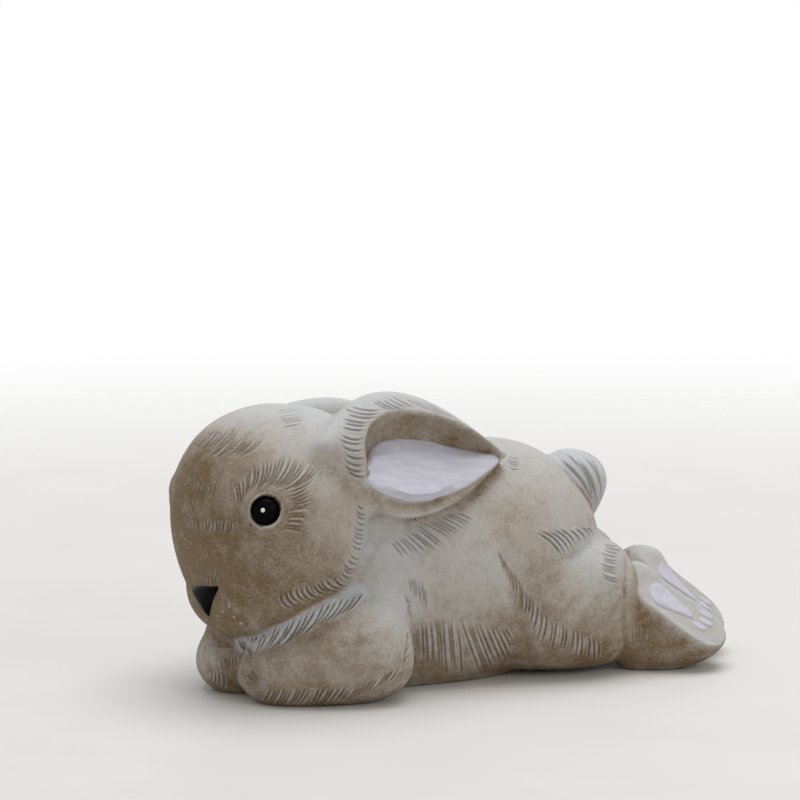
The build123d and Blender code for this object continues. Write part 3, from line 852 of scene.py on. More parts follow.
def blended(tree, share, first, second):
    """Two colours mixed by a share."""
    node = tree.nodes.new("ShaderNodeMix")
    node.data_type = "RGBA"
    for socket, value in ((node.inputs[0], share), (node.inputs[6], first), (node.inputs[7], second)):
        if isinstance(value, float):
            socket.default_value = value
        elif isinstance(value, tuple):
            socket.default_value = (*value, 1.0)
        else:
            tree.links.new(value, socket)
    return node.outputs[2]


def bumped(tree, shader, height, strength, distance):
    """Roughens a shader's surface by a height."""
    bump = tree.nodes.new("ShaderNodeBump")
    bump.inputs["Strength"].default_value = strength
    bump.inputs["Distance"].default_value = distance
    tree.links.new(height, bump.inputs["Height"])
    tree.links.new(bump.outputs["Normal"], shader.inputs["Normal"])


def clay_material(clay):
    """Matte clay: brown wash in the hollows and painted shade, pale bloom on the raised parts and painted
    highlights, painted shade in the grooves, a fine grain all over.
    """
    material, tree, shader = material_tree("washed_and_shaded_clay")
    patina_and_light = tree.nodes.new("ShaderNodeAttribute")
    patina_and_light.attribute_name = "patina_and_light"
    parts = tree.nodes.new("ShaderNodeSeparateColor")
    tree.links.new(patina_and_light.outputs["Color"], parts.inputs["Color"])
    wash_and_shade, bloom_and_highlight, groove_shade = (parts.outputs[name] for name in ("Red", "Green", "Blue"))
    clouds = noise(tree, 60.0, 5.0, 0.65)
    blots = noise(tree, 230.0, 4.0, 0.65)
    flecks = noise(tree, 1300.0, 3.0, 0.65)
    wash_and_shade = maths(tree, "ADD", wash_and_shade, ramp(tree, clouds, 0.30, 0.70, -0.26, 0.26))
    wash_and_shade = maths(tree, "ADD", wash_and_shade, ramp(tree, blots, 0.30, 0.70, -0.12, 0.12))
    wash_and_shade = maths(tree, "ADD", wash_and_shade, ramp(tree, flecks, 0.35, 0.65, -0.09, 0.09))
    bloom_and_highlight = maths(tree, "ADD", bloom_and_highlight, ramp(tree, blots, 0.30, 0.70, 0.06, -0.10))
    bloom_and_highlight = maths(tree, "ADD", bloom_and_highlight, ramp(tree, flecks, 0.35, 0.65, 0.07, -0.09))
    colour = blended(tree, wash_and_shade, tuple(clay.stone), tuple(clay.wash_and_shade))
    colour = blended(tree, bloom_and_highlight, colour, tuple(clay.bloom_and_highlight))
    # Painted shade: a darker wash colour in the grooves of the strokes.
    colour = blended(tree, groove_shade, colour, tuple(value * 0.8 for value in clay.wash_and_shade))
    tree.links.new(colour, shader.inputs["Base Color"])
    tree.links.new(ramp(tree, flecks, 0.3, 0.7, 0.62, 0.82), shader.inputs["Roughness"])
    shader.inputs["Specular IOR Level"].default_value = 0.3
    bumped(tree, shader, flecks, 0.35, 0.00025)
    return material


def paint_material(paint):
    """Matte lilac-white paint with brush marks."""
    material, tree, shader = material_tree("lilac_paint")
    places = tree.nodes.new("ShaderNodeTexCoord")
    stretch = tree.nodes.new("ShaderNodeMapping")
    stretch.inputs["Scale"].default_value = (60.0, 420.0, 420.0)
    tree.links.new(places.outputs["Object"], stretch.inputs["Vector"])
    marks = tree.nodes.new("ShaderNodeTexNoise")
    marks.inputs["Scale"].default_value = 1.0
    marks.inputs["Detail"].default_value = 3.0
    tree.links.new(stretch.outputs["Vector"], marks.inputs["Vector"])
    lilac = tuple(paint.lilac)
    darker = tuple(value * share for value, share in zip(lilac, (0.88, 0.885, 0.90)))
    colour = blended(tree, ramp(tree, marks.outputs["Fac"], 0.35, 0.7), darker, lilac)
    tree.links.new(colour, shader.inputs["Base Color"])
    shader.inputs["Roughness"].default_value = 0.62
    bumped(tree, shader, marks.outputs["Fac"], 0.25, 0.0002)
    return material


def bead_material(paint):
    """Glossy black glaze."""
    material, tree, shader = material_tree("black_glaze")
    smears = noise(tree, 160.0, 2.0)
    paler = tuple(value * 2.2 for value in paint.bead)
    colour = blended(tree, ramp(tree, smears, 0.4, 0.7), tuple(paint.bead), paler)
    tree.links.new(colour, shader.inputs["Base Color"])
    tree.links.new(ramp(tree, smears, 0.3, 0.7, 0.08, 0.16), shader.inputs["Roughness"])
    shader.inputs["IOR"].default_value = 1.09
    return material


def joined(names):
    """All the named solids in one list of points and triangles, with the number of each triangle's solid."""
    points = []
    triangles = []
    owner = []
    start = 0
    for number, name in enumerate(names):
        own_points, own_triangles = solid_arrays(name)
        points.append(own_points)
        triangles.append(own_triangles + start)
        owner.append(np.full(len(own_triangles), number, dtype=np.int32))
        start += len(own_points)
    return np.concatenate(points), np.concatenate(triangles), np.concatenate(owner)


def plug_arrays():
    """A short round plug that shuts the vent in the belly, so the blank has only an outside."""
    bm = bmesh.new()
    radii = {"radius1": PLUG_RADIUS, "radius2": PLUG_RADIUS}
    bmesh.ops.create_cone(bm, cap_ends=True, cap_tris=True, segments=24, depth=PLUG_DEPTH, **radii)
    bmesh.ops.triangulate(bm, faces=bm.faces)
    points = np.array([vertex.co for vertex in bm.verts]) + PLUG_MIDDLE
    bm.verts.index_update()
    triangles = np.array([[vertex.index for vertex in face.verts] for face in bm.faces])
    bm.free()
    return points, triangles


def relaxed_rings(rings):
    """Evens out rings of points, along and across, with the outer one kept."""
    for turn in range(6):
        before, after = (np.roll(rings, step, axis=1)[1:-1] for step in (1, -1))
        rings = np.concatenate((rings[:1], (rings[:-2] + rings[2:] + before + after) / 4, rings[-1:]))
    return rings


def dome(rings, bottom, top):
    """A closed skin through rings of points, with a point at each end."""
    count = rings.shape[1]
    points = np.concatenate((rings.reshape(-1, 3), (bottom, top)))
    faces = []
    for outer in range(0, (len(rings) - 1) * count, count):
        inner = outer + count
        for here in range(count):
            onward = (here + 1) % count
            faces.append((outer + here, outer + onward, inner + onward))
            faces.append((outer + here, inner + onward, inner + here))
    last = (len(rings) - 1) * count
    for here in range(count):
        onward = (here + 1) % count
        faces.append((onward, here, len(points) - 2))
        faces.append((last + here, last + onward, len(points) - 1))
    faces = np.array(faces)
    first, second, third = (points[faces[:, corner]] for corner in range(3))
    inside = np.einsum("ij,ij->i", first, np.cross(second, third)).sum()
    return points, faces if inside > 0 else faces[:, ::-1]


def eye_place(side):
    """The middle of one eye's solid bead, in millimetres."""
    low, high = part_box(f"{side}_eye")
    return (np.array(low) + np.array(high)) / 2 / MM


def eye_aim(side):
    """The way one eye looks."""
    aim = eye_place(side) - HEAD_MIDDLE
    return aim / np.linalg.norm(aim)


def swapped_ear(points, start, end):
    """Points about one ear moved to the same places about the other."""
    return EAR_ROOTS[end] + (points - EAR_ROOTS[start]) @ EAR_AXES[start].T @ EAR_AXES[end]


def lining_plane():
    """A place on the face of the left ear's lining and the way it faces."""
    points, triangles = solid_arrays("left_ear_lining")
    faces = face_normals(points, triangles)
    areas = np.linalg.norm(faces, axis=1)
    front = faces @ EAR_AXES["left"][1] > 0.8 * areas
    facing = faces[front].sum(axis=0)
    middle = np.average(points[triangles[front]].mean(axis=1), axis=0, weights=areas[front])
    return middle, facing / np.linalg.norm(facing)


def lining_rise(points):
    """How far the left ear's lining stands over its plane, rising towards the tip."""
    middle, facing = lining_plane()
    ray = picture_ray(EAR_PAINT_TIP)
    tip = CAMERA_PLACE + ray * ((middle - CAMERA_PLACE) @ facing / (ray @ facing)) - middle
    share = (points - middle) @ tip / (tip @ tip)
    return LINING_RISE * eased(np.clip((share - LINING_RISE_START) / (1 - LINING_RISE_START), 0, 1))


def heel_swollen(points, side):
    """Lifts the points about one heel along the way its sole faces."""
    place, height, radius = HEEL_SWELLINGS[side]
    return points + (height * bell(gaps_to(points, place), radius))[:, None] * SOLE_FACINGS[side]


class RABBIT_OT_casting(bpy.types.Operator):
    """Carve the clay casting: trunk, head, ears, legs, feet and tail."""

    bl_idname = "rabbit.casting"
    bl_label = "Carve Casting"

    def execute(self, context):
        clay = context.scene.rabbit_clay
        points, triangles, owner = joined(CAST_PIECES + PADS + ("nose",))
        foot = {side: CAST_PIECES.index(f"{side}_hind_foot") for side in SIDES}
        pad_owners = (foot[pad.split("_")[0]] for pad in PADS)
        given = [*range(len(CAST_PIECES)), *pad_owners, CAST_PIECES.index("head")]
        nose = len(given) - 1
        solid_tree = surface_tree(points, triangles)
        plug_points, plug_triangles = plug_arrays()
        blank = closed_up(
            "casting_blank",
            np.concatenate((points, plug_points)),
            np.concatenate((triangles, plug_triangles + len(points))),
            clay.grain,
        )
        surface = mesh_points(blank)
        edges = mesh_edges(blank)
        labels = piece_labels(surface, solid_tree, owner)
        surface = self.levelled(surface, edges, labels == nose)
        owner = np.array(given)[owner]
        labels = np.array(given)[labels]
        triangles = mesh_triangles(blank)
        surface = self.rounded(surface, edges, triangles, labels, clay.grain / MM)
        surface = self.softened(surface, edges, triangles)
        surface = self.hollowed(surface, edges, labels)
        surface = self.creased(surface, edges, triangles)
        surface = self.filled(surface, edges, triangles)
        tree = surface_tree(surface, triangles)
        names = [CAST_PIECES[label] for label in labels[triangles[:, 0]]]
        lines = stroke_lines(tree, names, clay.seed) + tail_lines(tree, names)
        places, depths = stroke_samples(lines)
        specks = on_surface(tree, WHISKER_SPECKS)
        corner = on_surface(tree, (EYE_CORNER,))
        surface, triangles = self.refined(blank, surface, places)
        surface = self.lidded(surface, triangles)
        labels = piece_labels(surface, solid_tree, owner)
        normals = point_normals(surface, triangles)
        distance, nearest = nearest_samples(surface, places, 3.0)
        width = clay.stroke_width / MM
        depth = clay.stroke_depth / MM * depths[nearest]
        cut = depth * bell(distance, width)
        burr = 0.5 * depth * bell(distance - 2.0 * width, 0.8 * width)
        surface += normals * (burr - cut)[:, None]
        surface = self.unfolded(surface, triangles)
        surface[:, 2] = np.maximum(surface[:, 2], 0.0)
        patina_and_light = self.patina_and_light(surface, triangles, tree, labels, cut, burr)
        # The whisker specks take bloom; the pit in each eye's front corner takes painted shade, as the grooves
        # do.
        for spots, (radius, height), channel in ((specks, SPECK_SIZE, 1), (corner, EYE_CORNER_SIZE, 2)):
            for spot in both_sides(spots, "head"):
                near = bell(gaps_to(surface, spot), radius)
                surface += normals * near[:, None] * height
                patina_and_light[:, channel] = np.maximum(patina_and_light[:, channel], near)
        self.split(surface, triangles, labels, patina_and_light, clay_material(clay))
        return {"FINISHED"}

    def levelled(self, surface, edges, on_nose):
        """Takes the nose's own step off the blank, so that the muzzle runs on under it."""
        middle = surface[on_nose].mean(axis=0)
        surface[on_nose] -= NOSE_REACH * HEAD_AHEAD
        return relaxed(surface, edges, NOSE_STEPS * bell(gaps_to(surface, middle), NOSE_SOFTNESS, 4))

    def rounded(self, surface, edges, triangles, labels, grain):
        """Softens the seams between pieces, each by its own amount, and presses in one side of some."""
        pairs = labels[edges]
        seam = np.nonzero(pairs[:, 0] != pairs[:, 1])[0]
        tree = KDTree(len(seam))
        sizes = np.empty(len(seam))
        names = [frozenset(CAST_PIECES[label] for label in pairs[edge]) for edge in seam]
        for number, edge in enumerate(seam):
            sizes[number] = SEAM_ROUNDING.get(names[number], OTHER_SEAM)
            tree.insert(surface[edges[edge]].mean(axis=0), number)
        tree.balance()
        pressed = {frozenset(pair): (pair[0], *amount) for pair, amount in SEAM_PRESS.items()}
        steps = np.full(len(surface), 3.0)
        press = np.zeros(len(surface))
        for number, point in enumerate(surface):
            place, index, gap = tree.find(point)
            size = sizes[index]
            if gap < 3 * size:
                steps[number] += 2.2 * (size / grain) ** 2 * math.exp(-((gap / (1.2 * size)) ** 2))
            if names[index] in pressed:
                piece, depth, width = pressed[names[index]]
                if CAST_PIECES[labels[number]] == piece:
                    press[number] = depth * math.exp(-((gap / width) ** 2))
        surface = surface - point_normals(surface, triangles) * press[:, None]
        return relaxed(surface, edges, steps)

    def softened(self, surface, edges, triangles):
        """Swells the heels and runs some pieces smoothly into each other."""
        tree = surface_tree(surface, triangles)
        steps = np.zeros(len(surface))
        for place, radius, count, mirror in SOFT_PLACES.values():
            for spot in both_sides(on_surface(tree, (place,)), mirror):
                steps = np.maximum(steps, count * bell(gaps_to(surface, spot), radius, 4))
        for side in SIDES:
            surface = heel_swollen(surface, side)
        place, height, radius = NECK_SWELLING
        spots = both_sides(on_surface(tree, (place,)), "head")
        for spot, outward in zip(spots, (HEAD_SIDEWAYS, -HEAD_SIDEWAYS)):
            surface = surface + (height * bell(gaps_to(surface, spot), radius))[:, None] * outward
        for side in SIDES:
            steps = np.maximum(steps, EYE_STEPS * bell(gaps_to(surface, eye_place(side)), EYE_SOFTNESS, 4))
        return relaxed(surface, edges, steps)

    def hollowed(self, surface, edges, labels):
        """Clears each ear's hollow to just under its lining, out to the painted outline."""
        middle, facing = lining_plane()
        surface = surface.copy()
        steps = np.zeros(len(surface))
        for side in SIDES:
            ear = np.nonzero(labels == CAST_PIECES.index(f"{side}_ear"))[0]
            points = swapped_ear(surface[ear], side, "left")
            height = (points - middle) @ facing - lining_rise(points)
            cleared = within(picture_places(points), EAR_PAINT) & (height > -LINING_ROOM)
            sight = points - CAMERA_PLACE
            sight = sight / np.linalg.norm(sight, axis=1)[:, None]
            sunk = points + sight * ((-LINING_ROOM - height) / (sight @ facing))[:, None]
            surface[ear[cleared]] = swapped_ear(sunk[cleared], "left", side)
            steps[ear[cleared]] = 3.0
        return relaxed(surface, edges, steps)

    def creased(self, surface, edges, triangles):
        """Presses the creases in and lifts one side of each."""
        tree = surface_tree(surface, triangles)
        normals = point_normals(surface, triangles)
        moved = np.zeros(len(surface))
        for route, raised, depth, width, lift, reach, mirror in CREASES.values():
            lines = [on_surface(tree, even_steps(np.array(route, dtype=float), 3.0))]
            if depth < 0:
                self.bib = lines[0]
            sides = [on_surface(tree, (raised,))[0]]
            if mirror:
                lines.append(snapped(tree, mirrored(lines[0], mirror)))
                sides.append(mirrored(sides[0][None], mirror)[0])
            for line, side in zip(lines, sides):
                distance, nearest = nearest_samples(surface, line, 3 * reach)
                close = np.nonzero(distance < 3 * reach)[0]
                place = nearest[close]
                tangent = np.gradient(line, axis=0)[place]
                across = np.cross(normals[close], tangent)
                across /= np.linalg.norm(across, axis=1)[:, None]
                across *= np.sign(np.einsum("ij,ij->i", across, side - line[place]))[:, None]
                offset = surface[close] - line[place]
                beside = np.einsum("ij,ij->i", offset, across)
                beyond = np.sqrt(np.maximum(distance[close] ** 2 - beside ** 2, 0.0))
                share = place / (len(line) - 1)
                fade = np.clip(np.minimum(share, 1 - share) * 5 + 0.15, 0, 1) * bell(beyond, width)
                rise = lift * np.clip(beside / width, 0, 1) * np.exp(-np.maximum(beside, 0) / reach)
                moved[close] += fade * (rise - depth * bell(beside, width))
        return relaxed(surface + normals * moved[:, None], edges, 6.0 * np.clip(np.abs(moved) * 3, 0, 1))

    def filled(self, surface, edges, triangles):
        """Fills the narrow pits left where seams meet."""
        for turn in range(3):
            soft = relaxed(surface, edges, np.full(len(surface), 16.0))
            hollow = np.einsum("ij,ij->i", soft - surface, point_normals(soft, triangles))
            steps = PIT_STEPS * np.clip((hollow - 0.6) / 0.3, 0, 1)
            surface = relaxed(surface, edges, widened(steps, edges, 2))
        return surface

    def unfolded(self, surface, triangles):
        """Smooths the few places where the carving folds the surface over."""
        edges = triangle_edges(triangles)
        for turn in range(3):
            soft = relaxed(surface, edges, np.full(len(surface), 10.0))
            ways = (face_normals(points, triangles) for points in (surface, soft))
            folded = np.einsum("ij,ij->i", *ways) < 0
            steps = np.zeros(len(surface))
            steps[triangles[folded]] = FOLD_STEPS
            surface = relaxed(surface, edges, widened(steps, edges, 3))
        return surface

    def lidded(self, surface, triangles):
        """Raises a lid round each eye and clears its socket."""
        normals = point_normals(surface, triangles)
        for side in SIDES:
            place = eye_place(side)
            aim = eye_aim(side)
            offset = surface - place
            along = offset @ aim
            around = np.linalg.norm(offset - along[:, None] * aim, axis=1)
            near = (along > -4) & (around < 12)
            lid = LID_HEIGHTS[side] * bell(around - LID_RADIUS, LID_WIDTH)
            lid = lid - LID_FURROW * bell(around - LID_FURROW_RADIUS, LID_FURROW_WIDTH)
            surface = surface + normals * (lid * near)[:, None]
            share = eased(np.clip((SOCKET_RADIUS - around) / SOCKET_SLOPE, 0, 1)) * near
            sunk = share * (np.minimum(along, SOCKET_FLOOR) - along)
            surface = surface + sunk[:, None] * aim
        return surface

    def refined(self, blank, surface, places):
        """Halves the spacing of the points near the strokes."""
        blank.vertices.foreach_set("co", (surface * MM).astype(np.float32).ravel())
        blank.update()
        distance, nearest = nearest_samples(surface, places, 2.2)
        near = distance < FINE_BY_STROKES
        for side in SIDES:
            near |= gaps_to(surface, eye_place(side)) < FINE_BY_EYES
        bm = bmesh.new()
        bm.from_mesh(blank)
        bm.verts.ensure_lookup_table()
        faces = [face for face in bm.faces if any(near[vertex.index] for vertex in face.verts)]
        edges = list({edge for face in faces for edge in face.edges})
        bmesh.ops.subdivide_edges(bm, edges=edges, cuts=1, use_grid_fill=True)
        bm.to_mesh(blank)
        bm.free()
        return mesh_points(blank), mesh_triangles(blank)

    def patina_and_light(self, surface, triangles, tree, labels, cut, burr):
        """How much wash and painted shade, bloom and painted highlight, and painted shade in the grooves each
        point takes.
        """
        soft = relaxed(surface, triangle_edges(triangles), np.full(len(surface), PATINA_SOFTNESS))
        normals = point_normals(soft, triangles)
        hollow = np.einsum("ij,ij->i", soft - surface, normals)
        height = surface[:, 2] / PATINA_HEIGHT
        muzzle = bell(gaps_to(surface, MUZZLE_MIDDLE), MUZZLE_REACH)
        wash_and_shade = WASH_LEVEL + WASH_IN_HOLLOWS * np.clip(hollow, -0.5, 1.0)
        # Painted shade: more wash low down, on the sides turned from the light overhead, and on the muzzle
        # with its brown wash.
        wash_and_shade = wash_and_shade + WASH_AND_SHADE_LOW_DOWN * (WASH_HEIGHT - height)
        wash_and_shade = wash_and_shade - SHADE_OFF_TOPS * normals[:, 2] + WASH_AND_SHADE_ON_MUZZLE * muzzle
        # Painted highlight: bloom on the higher parts turned up to the light overhead, less of it on the
        # muzzle.
        upward = np.clip((normals[:, 2] - 0.10) / 0.85, 0, 1) * np.clip(height - 0.20, 0, 0.85)
        bloom_and_highlight = upward * (1 - 0.5 * muzzle) + BLOOM_ON_RIDGES * np.clip(-hollow - 0.1, 0, 0.6)
        for side, facing in SOLE_FACINGS.items():
            foot = labels == CAST_PIECES.index(f"{side}_hind_foot")
            sole = np.clip((normals @ facing - 0.80) / 0.14, 0, 1)
            wash_and_shade[foot] += (FOOT_WASH - SOLE_WASH * sole)[foot]
            bloom_and_highlight[foot] += (SOLE_BLOOM * sole)[foot]
        tail = labels == CAST_PIECES.index("tail")
        wash_and_shade[tail] += TAIL_WASH
        bloom_and_highlight[tail] += TAIL_BLOOM
        # Painted light and shade, with more or less wash and rubbing, at the listed places.
        for place, radius, more_wash_and_shade, more_bloom_and_highlight, mirror in TINTS.values():
            for spot in both_sides(on_surface(tree, (place,)), mirror):
                near = bell(gaps_to(surface, spot), radius)
                wash_and_shade += more_wash_and_shade * near
                bloom_and_highlight += more_bloom_and_highlight * near
        # Painted shade: the walls of each ear's opening take more wash and lose most of their bloom.
        for side in SIDES:
            ear = np.nonzero(labels == CAST_PIECES.index(f"{side}_ear"))[0]
            places = picture_places(swapped_ear(surface[ear], side, "left"))
            facing = normals[ear] @ EAR_AXES[side].T @ EAR_AXES["left"]
            opening = ear[within(places, EAR_OPENING) & (facing @ view_axes()[0] < 0.1)]
            wash_and_shade[opening] += OPENING_WASH_AND_SHADE
            bloom_and_highlight[opening] *= OPENING_BLOOM
        bib = bell(nearest_samples(surface, self.bib, 3 * BIB_REACH)[0], BIB_REACH, 4)
        # Painted highlights on the burrs beside the strokes.
        bloom_and_highlight = np.clip(bloom_and_highlight + BLOOM_ON_BIB * bib, 0, 1) + HIGHLIGHT_ON_BURRS * burr
        # Painted shade in the grooves.
        groove_shade = np.clip(cut * GROOVE_SHADE_TONE, 0, GROOVE_SHADE_LIMIT)
        return np.stack((np.clip(wash_and_shade, 0, 1), np.clip(bloom_and_highlight, 0, 1), groove_shade, np.ones(len(surface))), axis=1)

    def split(self, surface, triangles, labels, patina_and_light, material):
        """Parts the casting into its pieces, each closed at its seams and shaded as one skin."""
        face_labels = tidy_face_labels(triangles, labels)
        normals = point_normals(surface, triangles)
        for number, name in enumerate(CAST_PIECES):
            used, places, facing, corners = capped(surface, normals, triangles[face_labels == number])
            mesh = mesh_from(f"{name}_clay", places, corners)
            shade = np.zeros((len(places), 4))
            shade[: len(used)] = patina_and_light[used]
            colours = mesh.color_attributes.new("patina_and_light", "FLOAT_COLOR", "POINT")
            colours.data.foreach_set("color", shade.astype(np.float32).ravel())
            piece = placed(f"{name}_clay", mesh)
            mesh.normals_split_custom_set_from_vertices(facing.tolist())
            mesh.materials.append(material)
            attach(piece, "root")
            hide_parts(name)


class RABBIT_OT_eyes(bpy.types.Operator):
    """Set the bead eyes, each with its painted glint."""

    bl_idname = "rabbit.eyes"
    bl_label = "Set Eyes"

    def execute(self, context):
        paint = context.scene.rabbit_paint
        material = bead_material(paint)
        white, tree, shader = material_tree("white_glint")
        specks = ramp(tree, noise(tree, 2500.0, 2.0), 0.4, 0.7)
        colour = blended(tree, specks, (0.80, 0.80, 0.80), (0.88, 0.88, 0.87))
        tree.links.new(colour, shader.inputs["Base Color"])
        shader.inputs["Roughness"].default_value = 0.4
        for side in SIDES:
            place = eye_place(side) + EYE_SETTINGS[side] * eye_aim(side)
            low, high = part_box(f"{side}_eye")
            radius = EYE_SIZE * (high[2] - low[2]) / 2 / MM
            bm = bmesh.new()
            bmesh.ops.create_uvsphere(bm, u_segments=64, v_segments=40, radius=radius * MM)
            bmesh.ops.scale(bm, vec=(1, 1, EYE_FLATNESS), verts=bm.verts)
            turn = Vector((0, 0, 1)).rotation_difference(Vector(eye_aim(side))).to_matrix().to_4x4()
            bmesh.ops.transform(bm, matrix=Matrix.Translation(Vector(place * MM)) @ turn, verts=bm.verts)
            mesh = bpy.data.meshes.new(f"{side}_eye_bead")
            bm.to_mesh(mesh)
            bm.free()
            bead = placed(f"{side}_eye_bead", mesh)
            mesh.materials.append(material)
            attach(bead, "root")
            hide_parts(f"{side}_eye")
            self.glint(side, place, radius, paint.glint / MM, white)
        return {"FINISHED"}

    def glint(self, side, place, radius, size, material):
        """Paints the small white spot on a bead, towards the front and top."""
        aim = eye_aim(side)
        direction = aim + GLINT_LEAN
        direction = direction / np.linalg.norm(direction)
        bm = bmesh.new()
        bmesh.ops.create_uvsphere(bm, u_segments=32, v_segments=20, radius=size * MM)
        bmesh.ops.scale(bm, vec=(1, 1, GLINT_FLATNESS), verts=bm.verts)
        turn = Vector((0, 0, 1)).rotation_difference(Vector(direction)).to_matrix().to_4x4()
        along = direction @ aim
        stretch = np.sqrt(1 - along ** 2 + (along / EYE_FLATNESS) ** 2)
        spot = Vector((place + direction * (radius / stretch - GLINT_SINK)) * MM)
        bmesh.ops.transform(bm, matrix=Matrix.Translation(spot) @ turn, verts=bm.verts)
        mesh = bpy.data.meshes.new(f"{side}_eye_glint")
        bm.to_mesh(mesh)
        bm.free()
        dot = placed(f"{side}_eye_glint", mesh)
        mesh.materials.append(material)
        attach(dot, "root")


class RABBIT_OT_nose(bpy.types.Operator):
    """Set the nose button."""

    bl_idname = "rabbit.nose"
    bl_label = "Set Nose"

    def execute(self, context):
        head = bpy.data.objects["head_clay"].data
        tree = surface_tree(mesh_points(head), mesh_triangles(head))
        corners = np.array(NOSE_OUTLINE)
        edge = evened(even_steps(np.concatenate((corners, corners[:1])), NOSE_STEP)[:-1], 14)
        roll = math.radians(NOSE_ROLL)
        turn = np.array(((math.cos(roll), math.sin(roll)), (-math.sin(roll), math.cos(roll))))
        edge = edge @ turn + NOSE_TOP
        middle = edge.mean(axis=0)
        shares = np.linspace(1.0, 0.1, RINGS)
        ahead = NOSE_AXES[2]
        rings = []
        for share in shares:
            starts = NOSE_MIDDLE + (middle + (edge - middle) * share) @ NOSE_AXES[:2] + 30 * ahead
            rings.append([tree.ray_cast(Vector(start), Vector(-ahead))[0] for start in starts])
        rise = NOSE_REACH * np.sqrt(1 - 0.98 * shares ** 2)
        rings = relaxed_rings(np.array(rings)) + rise[:, None, None] * ahead
        skirt = rings[0] - NOSE_EDGE * ahead
        top = rings[-1].mean(axis=0)
        surface, triangles = dome(np.concatenate((skirt[None], rings)), skirt.mean(axis=0), top)
        nose = placed("nose_button", mesh_from("nose_button", surface, triangles))
        nose.data.materials.append(bead_material(context.scene.rabbit_paint))
        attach(nose, "root")
        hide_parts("nose")
        return {"FINISHED"}


class RABBIT_OT_paint(bpy.types.Operator):
    """Paint the ear linings and the pads of the soles."""

    bl_idname = "rabbit.paint"
    bl_label = "Paint Linings and Pads"

    def execute(self, context):
        material = paint_material(context.scene.rabbit_paint)
        for name in PADS:
            side = name.split("_")[0]
            points, triangles = solid_arrays(name)
            mesh = remeshed(f"{name}_blank", points, triangles, PAD_GRAIN * MM)
            surface = relaxed(mesh_points(mesh), mesh_edges(mesh), np.full(len(mesh.vertices), 10.0))
            surface = surface + point_normals(surface, mesh_triangles(mesh)) * PAD_SWELLING
            if name in PAD_SPREAD:
                surface = self.spread(surface, PAD_SPREAD[name], SOLE_FACINGS[side])
            self.painted(name, heel_swollen(surface, side), mesh_triangles(mesh), material)
        surface, triangles = self.lining()
        self.painted("left_ear_lining", surface, triangles, material)
        self.painted("right_ear_lining", mirrored(surface, "ear"), triangles[:, ::-1], material)
        return {"FINISHED"}

    def painted(self, name, surface, triangles, material):
        """Sets one painted piece in place of its solid."""
        piece = placed(f"{name}_paint", mesh_from(f"{name}_paint", surface, triangles))
        piece.data.materials.append(material)
        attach(piece, "root")
        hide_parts(name)

    def lining(self):
        """A slightly dished sheet across the left ear's hollow, with the painted outline."""
        middle, facing = lining_plane()
        corners = np.array(EAR_PAINT, dtype=float)
        edge = evened(even_steps(np.concatenate((corners, corners[:1])), LINING_STEP)[:-1], 4)
        edge = edge + LINING_OVERLAP * (edge - edge.mean(axis=0))
        sight = np.array([picture_ray(place) for place in edge])
        rim = CAMERA_PLACE + sight * ((middle - CAMERA_PLACE) @ facing / (sight @ facing))[:, None]
        centre = rim.mean(axis=0)
        shares = np.linspace(1.0, 0.03, RINGS)
        dish = LINING_DISH * (1 - shares ** 2)[:, None, None] * facing
        rings = centre + (rim - centre) * shares[:, None, None] - dish
        sights = (rings - CAMERA_PLACE) / np.linalg.norm(rings - CAMERA_PLACE, axis=2)[:, :, None]
        rings = rings + (lining_rise(rings) / (sights @ facing))[:, :, None] * sights
        ear = bpy.data.objects["left_ear_clay"].data
        tree = surface_tree(mesh_points(ear), mesh_triangles(ear))
        room = np.zeros(rings.shape[:2])
        for place in np.ndindex(room.shape):
            way = Vector(sights[place])
            hit, normal, index, distance = tree.ray_cast(Vector(rings[place]), way, LINING_DROP)
            if hit is not None and normal @ way < 0:
                room[place] = max(distance - LINING_GAP, 0.0)
        drop = evened(room[0], 6) * shares[:, None] ** 4
        rings = rings + np.minimum(drop, room)[:, :, None] * sights
        skirt = rings[0] - LINING_EDGE * facing
        return dome(np.concatenate((skirt[None], rings)), skirt.mean(axis=0), rings[-1].mean(axis=0))

    def spread(self, surface, width, facing):
        """Widens a pad across its length, within its sole."""
        middle = surface.mean(axis=0)
        values, ways = np.linalg.eigh(np.cov((surface - middle).T))
        across = np.cross(facing, ways[:, 2])
        across = across / np.linalg.norm(across)
        return surface + ((width - 1) * ((surface - middle) @ across))[:, None] * across


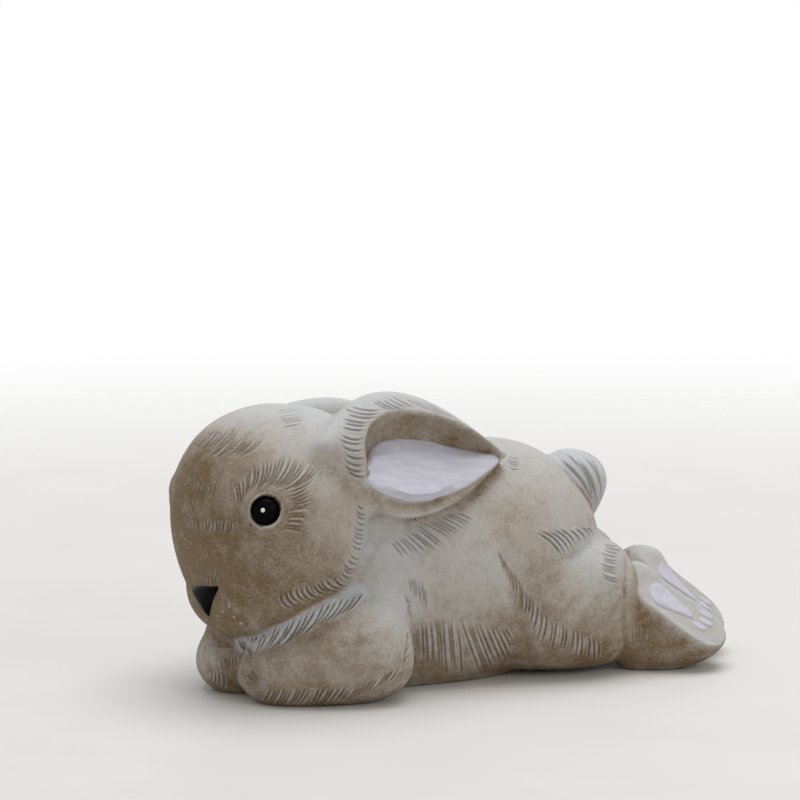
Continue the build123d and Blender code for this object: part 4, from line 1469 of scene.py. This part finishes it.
class RABBIT_OT_stage(bpy.types.Operator):
    """Set the camera, the floor and the lights."""

    bl_idname = "rabbit.stage"
    bl_label = "Set Stage"

    def execute(self, context):
        scene = context.scene
        stage = scene.rabbit_stage
        camera = bpy.data.objects.new("camera", bpy.data.cameras.new("camera"))
        camera.data.lens = CAMERA_LENS
        camera.data.clip_end = 20.0
        camera.location = Vector(CAMERA_PLACE * MM)
        camera.rotation_euler = Vector((CAMERA_AIM - CAMERA_PLACE) * MM).to_track_quat("-Z", "Y").to_euler()
        scene.collection.objects.link(camera)
        scene.camera = camera
        scene.view_settings.view_transform = "Standard"
        bpy.ops.mesh.primitive_plane_add(size=FLOOR_SIZE, location=(0, 0, FLOOR_DROP))
        floor = context.object
        floor.name = "floor"
        material, tree, shader = material_tree("pale_floor")
        tint = tuple(stage.floor)
        darker = tuple(value * 0.97 for value in tint)
        grain = blended(tree, ramp(tree, noise(tree, 18.0, 3.0), 0.3, 0.7), tint, darker)
        tree.links.new(grain, shader.inputs["Base Color"])
        shader.inputs["Roughness"].default_value = 0.6
        self.fade(tree, shader)
        floor.data.materials.append(material)
        self.lamp("top_light", stage.top_light, *TOP_LIGHT)
        self.lamp("side_light", stage.side_light, *SIDE_LIGHT)
        world = bpy.data.worlds.new("sky")
        scene.world = world
        world.use_nodes = True
        tree = world.node_tree
        background = tree.nodes["Background"]
        background.inputs["Color"].default_value = (1.0, 1.0, 1.0, 1.0)
        paths = tree.nodes.new("ShaderNodeLightPath")
        seen = maths(tree, "MAXIMUM", paths.outputs["Is Camera Ray"], paths.outputs["Is Glossy Ray"])
        seen = maths(tree, "MAXIMUM", seen, paths.outputs["Is Transmission Ray"])
        tree.links.new(ramp(tree, seen, 0.0, 1.0, stage.sky, 1.0), background.inputs["Strength"])
        return {"FINISHED"}

    def fade(self, tree, shader):
        """Lets the floor pass into the white background away from the figurine."""
        places = tree.nodes.new("ShaderNodeTexCoord")
        length = tree.nodes.new("ShaderNodeVectorMath")
        length.operation = "LENGTH"
        tree.links.new(places.outputs["Object"], length.inputs[0])
        clear = tree.nodes.new("ShaderNodeBsdfTransparent")
        mix = tree.nodes.new("ShaderNodeMixShader")
        tree.links.new(ramp(tree, length.outputs["Value"], *FLOOR_FADE), mix.inputs["Fac"])
        tree.links.new(shader.outputs["BSDF"], mix.inputs[1])
        tree.links.new(clear.outputs["BSDF"], mix.inputs[2])
        output = next(node for node in tree.nodes if node.type == "OUTPUT_MATERIAL")
        tree.links.new(mix.outputs["Shader"], output.inputs["Surface"])

    def lamp(self, name, power, size, place, target):
        """A round light that faces a target."""
        light = bpy.data.lights.new(name, "AREA")
        light.energy = power
        light.shape = "DISK"
        light.size = size
        lamp = bpy.data.objects.new(name, light)
        lamp.location = place
        lamp.rotation_euler = (Vector(target) - Vector(place)).to_track_quat("-Z", "Y").to_euler()
        bpy.context.scene.collection.objects.link(lamp)


class RABBIT_PT_panel(bpy.types.Panel):
    """Lists the steps that dress the figurine."""

    bl_idname = "RABBIT_PT_panel"
    bl_label = "Rabbit Figurine"
    bl_space_type = "VIEW_3D"
    bl_region_type = "UI"
    bl_category = "Rabbit"

    def draw(self, context):
        for step in STEPS:
            self.layout.operator(step.bl_idname)
        for group in ("rabbit_clay", "rabbit_paint", "rabbit_stage"):
            settings = getattr(context.scene, group)
            for name in settings.bl_rna.properties.keys():
                if name not in ("rna_type", "name"):
                    self.layout.prop(settings, name)


STEPS = (RABBIT_OT_stage, RABBIT_OT_casting, RABBIT_OT_eyes, RABBIT_OT_nose, RABBIT_OT_paint)
GROUPS = (("rabbit_clay", RabbitClay), ("rabbit_paint", RabbitPaint), ("rabbit_stage", RabbitStage))


def register():
    for name, group in GROUPS:
        bpy.utils.register_class(group)
        setattr(bpy.types.Scene, name, PointerProperty(type=group))
    for step in STEPS:
        bpy.utils.register_class(step)
    bpy.utils.register_class(RABBIT_PT_panel)


def unregister():
    bpy.utils.unregister_class(RABBIT_PT_panel)
    for step in reversed(STEPS):
        bpy.utils.unregister_class(step)
    for name, group in reversed(GROUPS):
        delattr(bpy.types.Scene, name)
        bpy.utils.unregister_class(group)


def main():
    register()
    bpy.ops.rabbit.stage()
    bpy.ops.rabbit.casting()
    bpy.ops.rabbit.eyes()
    bpy.ops.rabbit.nose()
    bpy.ops.rabbit.paint()


if __name__ == "__main__":
    main()
